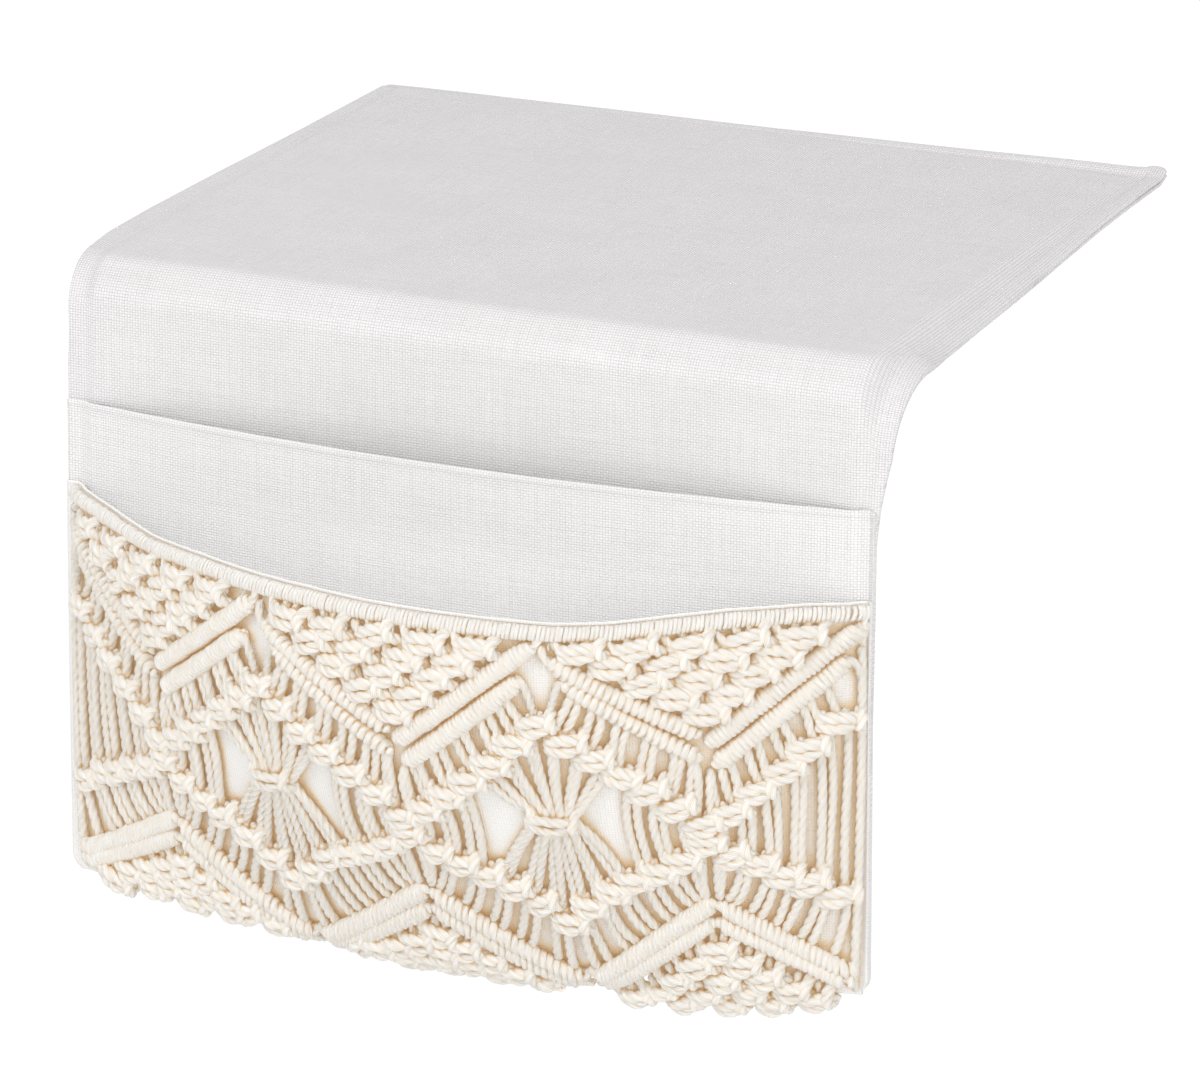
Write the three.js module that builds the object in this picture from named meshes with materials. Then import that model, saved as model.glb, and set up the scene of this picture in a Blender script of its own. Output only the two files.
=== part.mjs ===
// A canvas bedside caddy. A stiffened flap slides under the mattress, turns down over the bed's
// edge in a soft bend, and carries a hanging panel with a plain rear pocket and a front pocket
// faced with hand-knotted cord.
//
// Millimetres, +Z up. X runs across the caddy, +Y points back under the mattress.
// The origin is the middle of the flap's underside.
//
// The cloth is laid along one path: up the panel, round the bend and back along the flap.
// Every layer is placed by its distance along that path and its offset from it, so the boards,
// the canvas on both sides of them and the pockets follow one set of sizes.

import * as THREE from 'three';

// Overall sizes

const panelWidth = 350;
const panelHeight = 255;
const flapDepth = 299;
const bendRadius = 16;

// Cloth, boards and seams

const clothThickness = 0.9;
const boardThickness = 2.2;
const layGap = 0.35;
const boardInset = 12;
const boardSetback = 7;
const boardCornerRadius = 6;
const stepWidth = 1.4;
const panelCornerRadius = 8;
const flapCornerRadius = 4;
const droopAngle = THREE.MathUtils.degToRad(24);
const droopPeak = 30;

// Pockets

const seamHeight = 1;
const liningGap = 0.6;
const sideSeam = 5;
const widthPower = 1.9;
const depthPower = 2.3;
const rearPocketHeight = 199;
const rearPocketBulge = 15;
const rearHemDepth = 14;
const frontPocketHeight = 166;
const frontPocketBulge = 72;
const frontRimSag = 5;
const frontBottomDroop = 15;
const droopShare = 0.075;
const rearRowsFromShare = 0.1;
const frontRowsFromShare = 0.075;
const frontCurveEndsShare = 0.2;
const frontWallFromShare = 0.3;
const paceShare = 0.001;

// Knotted cord net

const netThickness = 3.3;
const netClearance = 0.8;
const headingTop = 1.8;
const headingHeight = 6.2;
const headingRise = 1.6;
const barRise = 2.6;
const chainRise = 1.1;
const knotRise = 0.9;
const gatherRise = 3.2;

// How the knotted pattern is shared out. Heights are shares of the net, from its bottom edge
// to the heading. The first number of each pair is at the foot of a V and the second at its tips.

const repeatCount = 3;
const cordCountPerRepeat = 24;
const rideLowShare = 0.045;
const netFootShare = 0.04;
const netFootPower = 4;
const crowdShare = 0.05;
const upperFillShares = [0.764, 1];
const upperBarShares = [[0.728, 0.969], [0.693, 0.937], [0.665, 0.906], [0.636, 0.874]];
const upperChainShares = [[0.555, 0.806], [0.505, 0.754]];
const gatherShares = [[0.504, 0.529], [0.502, 0.476]];
const lowerChainShares = [[0.501, 0.251], [0.45, 0.199]];
const lowerBarShares = [[0.314, 0.136], [0.283, 0.105], [0.253, 0.075], [0.225, 0.047]];
const lowerFillShares = [0.188, 0.01];
const scallopShare = 0.014;
const cordShare = 0.54;
const leanShare = 1;
const drawnShare = 0.34;
const tipShare = 0.8;
const gapShare = 0.62;
const rollSectionShares = [[-1, 0], [-0.62, 0.78], [0, 1], [0.62, 0.78], [1, 0]];

// Values worked out from the sizes above

const halfWidth = panelWidth / 2;
const halfBoard = boardThickness / 2;
const boardHalfWidth = halfWidth - boardInset;
const marginStart = boardHalfWidth + layGap + stepWidth;
const bendStart = panelHeight - bendRadius;
const flapStart = bendStart + (Math.PI / 2) * bendRadius;
const farEdge = flapStart + flapDepth - bendRadius;
const foldLine = (bendStart + flapStart) / 2;
const panelBoardTop = bendStart - boardSetback;
const flapBoardStart = flapStart + boardSetback;
const flapBoardEnd = farEdge - boardInset;
const pocketHalfWidth = halfWidth - sideSeam;
const flapUnderside = panelHeight - halfBoard - layGap - clothThickness;
const flapMiddle = (bendRadius + flapDepth) / 2;
const netTop = 1 - (headingTop + headingHeight + layGap) / frontPocketHeight;
const cordCount = repeatCount * cordCountPerRepeat;
const cordCountPerHalf = cordCountPerRepeat / 2;
const knotCordCount = 2;

const canvas = { color: 0xf1efeb, roughness: 0.92, metalness: 0 };
const lining = { color: 0xf6f4ef, roughness: 0.94, metalness: 0 };
const cotton = { color: 0xefe8d8, roughness: 0.88, metalness: 0 };
const stiffener = { color: 0xd9d5cc, roughness: 0.8, metalness: 0 };

function clamp(value) {
  return Math.min(1, Math.max(0, value));
}

// Rises from nought to one where the share is one, then dies away
function swell(share) {
  return share * Math.exp(1 - share);
}

// A closed body from points and triangles, turned right side out
function closedBody(points, triangles) {
  const a = new THREE.Vector3();
  let volume = 0;
  for (let i = 0; i < triangles.length; i += 3) {
    const [p, q, r] = [points[triangles[i]], points[triangles[i + 1]], points[triangles[i + 2]]];
    volume += a.crossVectors(p, q).dot(r);
  }
  const index = volume > 0 ? triangles : triangles.slice().reverse();
  const geometry = new THREE.BufferGeometry().setFromPoints(points);
  geometry.setIndex(index);
  geometry.computeVertexNormals();
  return geometry;
}

// A sheet between an outer and an inner face, both functions of a column and a row
function sheet(columns, rows, outer, inner) {
  const points = [];
  for (const face of [outer, inner]) {
    for (const row of rows) {
      for (const column of columns) points.push(face(column, row));
    }
  }
  const across = columns.length;
  const back = across * rows.length;
  const triangles = [];
  const quad = (a, b, c, d) => triangles.push(a, b, c, a, c, d);
  for (let j = 0; j + 1 < rows.length; j++) {
    for (let i = 0; i + 1 < across; i++) {
      const a = j * across + i;
      quad(a, a + 1, a + 1 + across, a + across);
      quad(back + a + across, back + a + 1 + across, back + a + 1, back + a);
    }
    const left = j * across;
    const right = left + across - 1;
    quad(left + across, left + across + back, left + back, left);
    quad(right, right + back, right + across + back, right + across);
  }
  const top = (rows.length - 1) * across;
  for (let i = 0; i + 1 < across; i++) {
    quad(i + 1, i, i + back, i + 1 + back);
    quad(top + i, top + i + 1, top + i + 1 + back, top + i + back);
  }
  return closedBody(points, triangles);
}

// Columns for a sheet, given for one half and mirrored to the other
function mirrored(half) {
  const others = half.filter((x) => x > 0).map((x) => -x);
  return [...others, ...half].sort((a, b) => a - b);
}

function spread(from, to, count) {
  return Array.from({ length: count + 1 }, (_, i) => from + ((to - from) * i) / count);
}

// The point and outward direction of the cloth's path at a distance along it
function pathAt(along) {
  if (along <= bendStart) return { y: 0, z: along, ny: -1, nz: 0 };
  if (along >= flapStart) return { y: bendRadius + along - flapStart, z: panelHeight, ny: 0, nz: 1 };
  const turn = (along - bendStart) / bendRadius;
  const ny = -Math.cos(turn);
  const nz = Math.sin(turn);
  return { y: bendRadius * (1 + ny), z: bendStart + bendRadius * nz, ny, nz };
}

// How far the cloth stands off the path: out over a board, and in to the seam margin beyond it
function clothOffset(x, along) {
  const slope = (inside) => clamp((inside + layGap + stepWidth) / stepWidth);
  const across = slope(boardHalfWidth - Math.abs(x));
  const onPanel = Math.min(slope(along - boardInset), slope(panelBoardTop - along));
  const onFlap = Math.min(slope(along - flapBoardStart), slope(flapBoardEnd - along));
  const over = across * Math.max(onPanel, onFlap);
  return layGap / 2 + over * (halfBoard + layGap / 2);
}

// Half the cloth's width at a distance along the path, with its corners rounded
function halfWidthAt(along) {
  const rounded = (radius, inside) => {
    const short = Math.max(0, radius - inside);
    return radius - Math.sqrt(radius * radius - short * short);
  };
  const bottom = rounded(panelCornerRadius, along);
  const far = rounded(flapCornerRadius, farEdge - along);
  return halfWidth - bottom - far;
}

// A point of the doubled cloth. Its margin beyond the board hangs down a little behind the bend.
function clothPoint(column, along, offset) {
  const side = Math.sign(column);
  const inner = Math.min(Math.abs(column), marginStart);
  const beyond = Math.abs(column) - inner;
  const margin = (beyond / (halfWidth - marginStart)) * (halfWidthAt(along) - marginStart);
  const behind = Math.max(0, along - flapStart);
  const angle = droopAngle * swell(behind / droopPeak);
  const lean = beyond > 0 ? angle : Math.abs(column) === marginStart ? angle / 2 : 0;
  const out = margin * Math.cos(angle) + offset * Math.tan(lean) * Math.cos(lean);
  const rise = offset * Math.cos(lean) - margin * Math.sin(angle);
  const { y, z, ny, nz } = pathAt(along);
  return new THREE.Vector3(side * (inner + out), y + rise * ny, z + rise * nz);
}

const clothColumns = mirrored([
  0,
  boardHalfWidth / 2,
  boardHalfWidth + layGap,
  marginStart,
  (marginStart + halfWidth) / 2,
  halfWidth,
]);

function cornerRows(radius, steps) {
  return spread(0, Math.PI / 2, steps).map((turn) => radius * (1 - Math.cos(turn)));
}

// One cloth of the pair on the panel or the flap. Side is 1 for the face and -1 for the backing.
// Its end at the fold is cut back on a slant, which leaves the fold free to close either way.
function clothLayer(rows, side, foldSide) {
  const surface = (thickness) => (column, row) => {
    const offset = side * (clothOffset(column, row) + thickness);
    const slant = row === foldLine ? foldSide * (Math.abs(offset) + layGap / 2) : 0;
    return clothPoint(column, row + slant, offset);
  };
  return sheet(clothColumns, rows, surface(clothThickness), surface(0));
}

const boardEdge = layGap + stepWidth;
const panelRows = [
  ...cornerRows(panelCornerRadius, 4),
  boardInset - boardEdge,
  boardInset - layGap,
  panelHeight / 3,
  (2 * panelHeight) / 3,
  panelBoardTop + layGap,
  panelBoardTop + boardEdge,
  ...spread(bendStart, foldLine, 4),
];
const flapRows = [
  ...spread(foldLine, flapStart, 4),
  flapBoardStart - boardEdge,
  flapBoardStart - layGap,
  ...spread(flapStart + droopPeak, flapBoardEnd + layGap, 7),
  flapBoardEnd + boardEdge,
  ...cornerRows(flapCornerRadius, 3).map((inside) => farEdge - inside).reverse(),
];

// A stiffening board with round corners, lying flat with its lowest edge on y = 0
function boardBlank(length) {
  const r = boardCornerRadius;
  const w = boardHalfWidth;
  const outline = new THREE.Shape();
  outline.absarc(w - r, r, r, -Math.PI / 2, 0);
  outline.absarc(w - r, length - r, r, 0, Math.PI / 2);
  outline.absarc(r - w, length - r, r, Math.PI / 2, Math.PI);
  outline.absarc(r - w, r, r, Math.PI, 1.5 * Math.PI);
  const cut = { depth: boardThickness, bevelEnabled: false, curveSegments: 6 };
  return new THREE.ExtrudeGeometry(outline, cut);
}

function panelBoard() {
  const mesh = new THREE.Mesh(boardBlank(panelBoardTop - boardInset), material(stiffener));
  mesh.rotation.x = Math.PI / 2;
  mesh.position.set(0, halfBoard, boardInset);
  return mesh;
}

function flapBoard() {
  const mesh = new THREE.Mesh(boardBlank(flapBoardEnd - flapBoardStart), material(stiffener));
  mesh.position.set(0, pathAt(flapBoardStart).y, panelHeight - halfBoard);
  return mesh;
}

// How fully a pocket stands out at a place across it, nought at its side seams
function fullness(x) {
  return Math.max(0, 1 - Math.abs(x / pocketHalfWidth) ** widthPower);
}

// A point of a pocket's back face, at a share of the way from its bottom seam to its rim
function pocketPoint(pocket, x, share) {
  const full = fullness(x);
  const rim = pocket.height - pocket.rimSag * full;
  const drop = pocket.bottomDroop * full * swell(share / droopShare);
  const z = seamHeight + (rim - seamHeight) * share - drop;
  const rest = clothOffset(x, panelHeight / 2) + clothThickness;
  const out = pocket.bulge * full * (1 - (1 - share) ** depthPower);
  return new THREE.Vector3(x, -rest - pocket.standOff - out, z);
}

// The direction straight out of a pocket's cloth
function pocketNormal(pocket, x, share) {
  const [left, right] = [x - paceShare * halfWidth, x + paceShare * halfWidth];
  const [low, high] = [share - paceShare, Math.min(1, share + paceShare)];
  const across = pocketPoint(pocket, right, share).sub(pocketPoint(pocket, left, share));
  const up = pocketPoint(pocket, x, high).sub(pocketPoint(pocket, x, low));
  return across.cross(up).normalize();
}

function offPocket(pocket, x, share, offset) {
  const point = pocketPoint(pocket, x, share);
  return point.addScaledVector(pocketNormal(pocket, x, share), offset);
}

const rearPocket = {
  height: rearPocketHeight,
  rimSag: 0,
  bottomDroop: 0,
  bulge: rearPocketBulge,
  standOff: layGap,
};
const frontPocket = {
  height: frontPocketHeight,
  rimSag: frontRimSag,
  bottomDroop: frontBottomDroop,
  bulge: frontPocketBulge,
  standOff: layGap + clothThickness + liningGap,
};

// The pocket cloth's own corners are rounded with the panel's
function pocketX(column, share, height) {
  const inner = Math.min(Math.abs(column), pocketHalfWidth);
  const reach = Math.max(halfWidthAt(seamHeight + share * height), inner);
  const margin = ((Math.abs(column) - inner) / sideSeam) * (reach - inner);
  return Math.sign(column) * (inner + margin);
}

function pocketSheet(pocket, columns, rows, thicknessAt) {
  const surface = (outer) => (column, share) => {
    const x = pocketX(column, share, pocket.height);
    return offPocket(pocket, x, share, outer ? thicknessAt(share) : 0);
  };
  return sheet(columns, rows, surface(true), surface(false));
}

const pocketColumns = mirrored([
  ...spread(0, boardHalfWidth + layGap, 8),
  marginStart,
  pocketHalfWidth,
  halfWidth,
]);

// The rear pocket's mouth is turned over twice, so its hem is three cloths thick
function rearPocketCanvas() {
  const hem = 1 - rearHemDepth / rearPocketHeight;
  const fold = clothThickness / rearPocketHeight;
  const corner = cornerRows(panelCornerRadius, 2).map((z) => z / rearPocketHeight);
  const rows = [...corner, ...spread(rearRowsFromShare, hem - fold, 5), hem, 1];
  const thicknessAt = (share) => clothThickness * (share >= hem ? 2 : 1);
  return pocketSheet(rearPocket, pocketColumns, rows, thicknessAt);
}

function frontPocketLining() {
  const corner = cornerRows(panelCornerRadius, 3).map((z) => z / frontPocketHeight);
  const foot = spread(frontRowsFromShare, frontCurveEndsShare, 3);
  const rows = [...corner, ...foot, ...spread(frontWallFromShare, 1, 7)];
  return pocketSheet(frontPocket, pocketColumns, rows, () => clothThickness);
}

// A point in front of the lining. Across is a share of the net's width, share a share of the
// pocket's height, and offset is measured from the net's own back face.
function facingPoint(across, share, offset) {
  const middle = across - 0.5;
  const crowded = middle + (crowdShare * Math.sin(2 * Math.PI * middle)) / (2 * Math.PI);
  const x = 2 * (pocketHalfWidth - netClearance) * crowded;
  const low = rideLowShare * fullness(x) * Math.sin(Math.PI * clamp(share));
  return offPocket(frontPocket, x, share - low, clothThickness + netClearance + offset);
}

// A point of the knotted net. Up is a share of its own height.
function netPoint(across, up, offset) {
  const lifted = up * netTop + netFootShare * (1 - up) ** netFootPower;
  return facingPoint(across, lifted, offset);
}

// Nought at the foot of each V and one at its tips, where the diamonds have their axes.
// Places across the net are counted in cords.
function towardsTip(count) {
  return Math.abs(((count / cordCountPerHalf) % 2) - 1);
}

// The height of a zigzag line of the pattern
function zigzag([foot, tip], count) {
  return foot + (tip - foot) * towardsTip(count);
}

const everyKnot = spread(0, cordCount, cordCount / knotCordCount);
const feet = spread(cordCountPerHalf, cordCount - cordCountPerHalf, repeatCount - 1);
const axes = spread(cordCountPerRepeat, cordCount - cordCountPerRepeat, repeatCount - 2);

// Bars stop short of the tips, so their lines have two points there instead of one
const barCounts = everyKnot.flatMap((count) =>
  (axes.includes(count) ? [count - tipShare, count + tipShare] : [count]));

// Both edges of each hanging cord
const cordCounts = spread(0, cordCount - 1, cordCount - 1).flatMap((cord) => {
  const middle = cord + 0.5;
  const left = cord === 0 ? 0 : middle - cordShare / 2;
  const right = cord === cordCount - 1 ? cordCount : middle + cordShare / 2;
  return [left, right];
});

// Between the bars and the chains each cord leans towards the nearest tip
function leaned(count) {
  const towards = Math.sign(Math.sin((Math.PI * count) / cordCountPerHalf)) || 1;
  return count - towards * leanShare * Math.sin(Math.PI * towardsTip(count));
}

// The cords nearest a diamond's axis are drawn together at its middle
function drawn(count) {
  const axis = axes.find((at) => Math.abs(count - at) < cordCountPerHalf / 2);
  return axis === undefined ? leaned(count) : axis + (count - axis) * drawnShare;
}

// The net's front as points and triangles. Each point has its place across in cords, its height
// as a share of the net and how far it stands out.
const front = { points: [], triangles: [] };

function netVertex(count, up, rise) {
  front.points.push({ count, up, rise });
  return { id: front.points.length - 1, count };
}

// A zigzag line of points
function netLine(counts, shares, rise, shift = (count) => count) {
  return counts.map((count) => netVertex(shift(count), zigzag(shares, shift(count)), rise));
}

function netFace(a, b, c) {
  front.triangles.push(a.id, b.id, c.id);
}

// Fills the strip between two lines that have points in different places
function zip(upper, lower) {
  let i = 0;
  let j = 0;
  while (i + 1 < upper.length || j + 1 < lower.length) {
    const nextUp = i + 1 < upper.length ? upper[i + 1].count : Infinity;
    const nextLow = j + 1 < lower.length ? lower[j + 1].count : Infinity;
    if (nextLow <= nextUp) {
      netFace(upper[i], lower[j], lower[j + 1]);
      j += 1;
    } else {
      netFace(upper[i], lower[j], upper[i + 1]);
      i += 1;
    }
  }
}

// Fills the strip a repeat at a time, which leaves the gaps between neighbouring tips open
function zipRepeats(upper, lower) {
  const ends = [0, ...axes, cordCount];
  for (let i = 0; i + 1 < ends.length; i++) {
    const within = ({ count }) => count >= ends[i] && count <= ends[i + 1];
    zip(upper.filter(within), lower.filter(within));
  }
}

// Fills the strip between two lines along the cords' edges. Every other cell is a gap between
// two cords, and stays empty where the pattern opens it.
function cordBand(upper, lower, isOpen) {
  for (let i = 0; i + 1 < upper.length; i++) {
    const between = i % 2 === 1;
    if (between && isOpen((i + 1) / 2)) continue;
    netFace(upper[i], lower[i], lower[i + 1]);
    netFace(upper[i], lower[i + 1], upper[i + 1]);
  }
}

function fromFoot(count) {
  return Math.min(...feet.map((foot) => Math.abs(count - foot)));
}

// A cell of the knotted field with a lozenge left open at its middle
function openCell(corners) {
  const at = corners.map(({ id }) => front.points[id]);
  const mean = (key, list) => list.reduce((sum, p) => sum + p[key], 0) / list.length;
  const [count, up] = [mean('count', at), mean('up', at)];
  const sides = corners.map((_, i) => {
    const pair = [at[i], at[(i + 1) % 4]];
    const [sideCount, sideUp] = [mean('count', pair), mean('up', pair)];
    return netVertex(count + (sideCount - count) * gapShare, up + (sideUp - up) * gapShare, 0);
  });
  for (let i = 0; i < 4; i++) {
    const next = (i + 1) % 4;
    netFace(corners[i], corners[next], sides[i]);
    netFace(corners[next], sides[next], sides[i]);
  }
}

// The field of alternating knots inside one V, or below one foot. Its rows run level and shorten
// by a knot at each side until they meet at the foot.
function knotField(foot, line, shares, scallop) {
  const rows = cordCountPerHalf / knotCordCount;
  const [footUp, edgeUp] = shares;
  const upwards = edgeUp > footUp;
  const grid = spread(0, rows, rows).map((row) => {
    const reach = rows - row;
    const up = edgeUp + ((footUp - edgeUp) * row) / rows;
    return Array.from({ length: 2 * reach + 1 }, (_, i) => i - reach).map((step) => {
      const count = foot + step * knotCordCount;
      if (Math.abs(step) === reach) return line.find((vertex) => vertex.count === count);
      const odd = Math.abs(row + step) % 2;
      const dip = row === 0 ? scallop * odd : 0;
      return netVertex(count, up - dip, row === 0 ? 0 : knotRise * odd);
    });
  });
  const face = (a, b, c) => (upwards ? netFace(a, b, c) : netFace(a, c, b));
  for (let row = 0; row < rows; row++) {
    const [near, far] = [grid[row], grid[row + 1] ?? []];
    face(near[0], far[0], near[1]);
    face(near[near.length - 2], far[far.length - 1], near[near.length - 1]);
    for (let i = 0; i + 1 < far.length; i++) {
      const step = i + 1 - (far.length - 1) / 2;
      const fromAxis = step > 0 ? step - 1 : -step;
      const corners = [near[i + 1], far[i], far[i + 1], near[i + 2]];
      if (!upwards) corners.reverse();
      if ((row + fromAxis) % 2 === 1) {
        openCell(corners);
      } else {
        netFace(corners[0], corners[1], corners[2]);
        netFace(corners[0], corners[2], corners[3]);
      }
    }
  }
}

// The net's front turned into a body: the same faces behind it, and walls round every edge
function netBody() {
  const { points, triangles } = front;
  const faceOf = ({ count, up, rise }) => netPoint(count / cordCount, up, netThickness + rise);
  const backOf = ({ count, up }) => netPoint(count / cordCount, up, 0);
  const back = points.length;
  const all = [...points.map(faceOf), ...points.map(backOf)];
  const faces = [...triangles];
  const edges = new Set();
  for (let i = 0; i < triangles.length; i += 3) {
    const [a, b, c] = triangles.slice(i, i + 3);
    faces.push(back + a, back + c, back + b);
    for (const [from, to] of [[a, b], [b, c], [c, a]]) edges.add(`${from} ${to}`);
  }
  for (const edge of edges) {
    const [from, to] = edge.split(' ').map(Number);
    if (edges.has(`${to} ${from}`)) continue;
    faces.push(from, back + from, back + to, from, back + to, to);
  }
  return closedBody(all, faces);
}

function knottedNet() {
  const fieldLine = netLine(everyKnot, upperFillShares, 0);
  for (const foot of feet) knotField(foot, fieldLine, upperFillShares, 0);

  const rises = [barRise, 0, barRise];
  const [outer, between, inner] = rises.map((rise, i) => netLine(barCounts, upperBarShares[i], rise));
  const barEdge = netLine(cordCounts, upperBarShares[3], 0);
  zip(fieldLine, outer);
  zipRepeats(outer, between);
  zipRepeats(between, inner);
  zipRepeats(inner, barEdge);

  const fanOpen = (gap) => fromFoot(gap) > 1;
  const chainLine = (shares) => netLine(cordCounts, shares, chainRise, leaned);
  const [chainTop, chainBottom] = upperChainShares.map(chainLine);
  cordBand(barEdge, chainTop, fanOpen);
  cordBand(chainTop, chainBottom, () => false);

  const drawnIn = (gap) => axes.some((axis) => Math.abs(gap - axis) < cordCountPerHalf / 2);
  const gatherLine = (shares) => cordCounts.map((count) => {
    const to = drawn(count);
    return netVertex(to, zigzag(shares, to), drawnIn(count) ? gatherRise : 0);
  });
  const [gatherTop, gatherBottom] = gatherShares.map(gatherLine);
  const [footTop, footBottom] = lowerChainShares.map(chainLine);
  const diamondOpen = (gap) => fromFoot(gap) > 2;
  cordBand(chainBottom, gatherTop, diamondOpen);
  cordBand(gatherTop, gatherBottom, (gap) => diamondOpen(gap) && !drawnIn(gap));
  cordBand(gatherBottom, footTop, diamondOpen);
  cordBand(footTop, footBottom, () => false);

  const lowerEdge = netLine(cordCounts, lowerBarShares[0], 0);
  const [first, middle, last] = rises.map((rise, i) => netLine(barCounts, lowerBarShares[i + 1], rise));
  const footLine = netLine(everyKnot, lowerFillShares, 0);
  cordBand(footBottom, lowerEdge, fanOpen);
  zipRepeats(lowerEdge, first);
  zipRepeats(first, middle);
  zipRepeats(middle, last);
  zip(last, footLine);
  for (const foot of feet) knotField(foot, footLine, lowerFillShares, scallopShare);
  return netBody();
}

// The heading cord that every hanging cord is hitched over, just below the pocket's rim
function headingCord() {
  const half = headingHeight / 2 / frontPocketHeight;
  const centre = 1 - headingTop / frontPocketHeight - half;
  const places = spread(0, 1, cordCount / knotCordCount);
  const section = rollSectionShares.length;
  const stand = netThickness + headingRise;
  const points = places.flatMap((across) =>
    rollSectionShares.map(([up, out]) => facingPoint(across, centre + up * half, out * stand)));
  const triangles = [];
  for (let j = 0; j + 1 < places.length; j++) {
    for (let i = 0; i < section; i++) {
      const [a, b] = [j * section + i, j * section + ((i + 1) % section)];
      triangles.push(a, b, b + section, a, b + section, a + section);
    }
  }
  const last = points.length - section;
  for (let i = 2; i < section; i++) {
    triangles.push(0, i, i - 1, last, last + i - 1, last + i);
  }
  return closedBody(points, triangles);
}

function material({ color, roughness, metalness }) {
  return new THREE.MeshStandardMaterial({ color, roughness, metalness });
}

function named(name, geometry, look) {
  const mesh = geometry.isMesh ? geometry : new THREE.Mesh(geometry, material(look));
  mesh.name = name;
  return mesh;
}

const flap = new THREE.Group();
flap.add(named('flap_face_canvas', clothLayer(flapRows, 1, 1), canvas));
flap.add(named('flap_backing_canvas', clothLayer(flapRows, -1, 1), canvas));
flap.add(named('flap_board', flapBoard()));

const panel = new THREE.Group();
panel.add(named('panel_face_canvas', clothLayer(panelRows, 1, -1), canvas));
panel.add(named('panel_backing_canvas', clothLayer(panelRows, -1, -1), canvas));
panel.add(named('panel_board', panelBoard()));
panel.add(named('rear_pocket_canvas', rearPocketCanvas(), canvas));
panel.add(named('front_pocket_lining', frontPocketLining(), lining));
panel.add(named('knotted_net', knottedNet(), cotton));
panel.add(named('heading_cord', headingCord(), cotton));

const caddy = new THREE.Group();
caddy.add(flap, panel);
caddy.position.set(0, -flapMiddle, -flapUnderside);

export default caddy;
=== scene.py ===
"""A canvas bedside caddy with a pocket faced in knotted cord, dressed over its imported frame.

Every piece is a surface worked out on whole arrays. The cloth follows one path, up the hanging
panel, round the bend and back along the flap. The knotwork is drawn in pattern places, counted
in cords across the pocket and in shares of the net's height, and laid onto the bulging pocket.
"""

import math

import bpy
import numpy as np
from mathutils import Matrix, Vector


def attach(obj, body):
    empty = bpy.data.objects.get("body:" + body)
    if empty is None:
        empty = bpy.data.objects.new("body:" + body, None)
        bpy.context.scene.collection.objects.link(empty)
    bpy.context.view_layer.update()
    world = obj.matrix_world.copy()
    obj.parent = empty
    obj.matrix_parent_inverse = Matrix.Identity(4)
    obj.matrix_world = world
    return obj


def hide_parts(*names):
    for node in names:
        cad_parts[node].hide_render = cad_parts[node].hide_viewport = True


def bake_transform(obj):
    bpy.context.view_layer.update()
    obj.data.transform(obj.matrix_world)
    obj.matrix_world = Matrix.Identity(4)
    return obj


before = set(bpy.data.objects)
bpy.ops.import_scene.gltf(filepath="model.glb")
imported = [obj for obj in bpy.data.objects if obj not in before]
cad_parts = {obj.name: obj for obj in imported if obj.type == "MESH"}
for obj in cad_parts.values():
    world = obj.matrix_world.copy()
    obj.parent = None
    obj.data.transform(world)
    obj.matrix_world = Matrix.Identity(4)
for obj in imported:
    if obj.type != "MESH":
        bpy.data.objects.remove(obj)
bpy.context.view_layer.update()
rng = np.random.default_rng(7)

# Sizes of the cloth and boards, in metres

PANEL_HALF_WIDTH = 0.175
PANEL_HEIGHT = 0.255
FLAP_DEPTH = 0.299
BEND_RADIUS = 0.016
CLOTH = 0.0009
BOARD_HALF_THICKNESS = 0.0011
LAY_GAP = 0.00035
BOARD_INSET = 0.012
BOARD_SETBACK = 0.0015
PANEL_CORNER = 0.008
FLAP_CORNER = 0.004
EMBOSS_STEP = 0.0045
MIDDLE_BEND = 0.0125
MARGIN_BEND = 0.036
BEND_DENT = 0.0016
LEFT_DROOP = math.radians(-3)
RIGHT_DROOP = math.radians(42)
LEFT_MARGIN_BEND = 0.020
EDGE_FOLD_WIDTH = 0.0055
# How far the cloth's two edges run outside their cut lines, up the panel and back along the flap
EDGE_AT = (0.0, 0.08, 0.12, 0.168, 0.201, 0.217, 0.233, 0.248, 0.262, 0.272, 0.285, 0.325, 0.385,
           0.465, 0.548)
RIGHT_EDGE_OUT = (-0.0030, -0.0036, -0.0040, -0.0036, -0.0036, -0.0022, 0.0004, 0.0034, 0.0066,
                  0.0058, 0.0048, 0.0038, 0.0032, 0.0026, 0.0036)
LEFT_EDGE_OUT = (0, 0.0006, 0.0006, 0.0006, 0.0006, 0.0006, 0, 0.0005, 0.0012, 0.0022, 0.0034,
                 0.0038, 0.0024, 0, -0.0016)
# How far the free hem at the flap's far edge is lifted: places across, and how far
FAR_RISE_AT = (-0.175, -0.10, 0.0, 0.12, 0.175)
FAR_RISE = (-0.0020, -0.0012, -0.0004, 0.0014, 0.0023)
# How the cloth settles between the boards, in the drooping margins and where it is turned in
BEND_LIFT_SHARE = 0.85
BEND_EASE = 0.01
MARGIN_TURN = BOARD_INSET * 0.6
DROOP_GROWS = (-0.05, 0.03)
DROOP_FADES = 0.275
DROOP_LOSS = 1.1
PANEL_FOLD_SHARE = 0.35
LEFT_FOLD_SHARE = 0.4
FAR_FOLD_SHARE = 0.7
FOLD_GROWS = 0.12
FOLD_THICKNESS = 1.2
ROLL_MIDDLE = 0.8
RIPPLE_HEIGHT = 0.00022
RIPPLE_AT_SIDES = 0.3
RIPPLE_INSET = 0.03
RIPPLE_LENGTH = 0.09
EDGE_ROUND = 0.4

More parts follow.
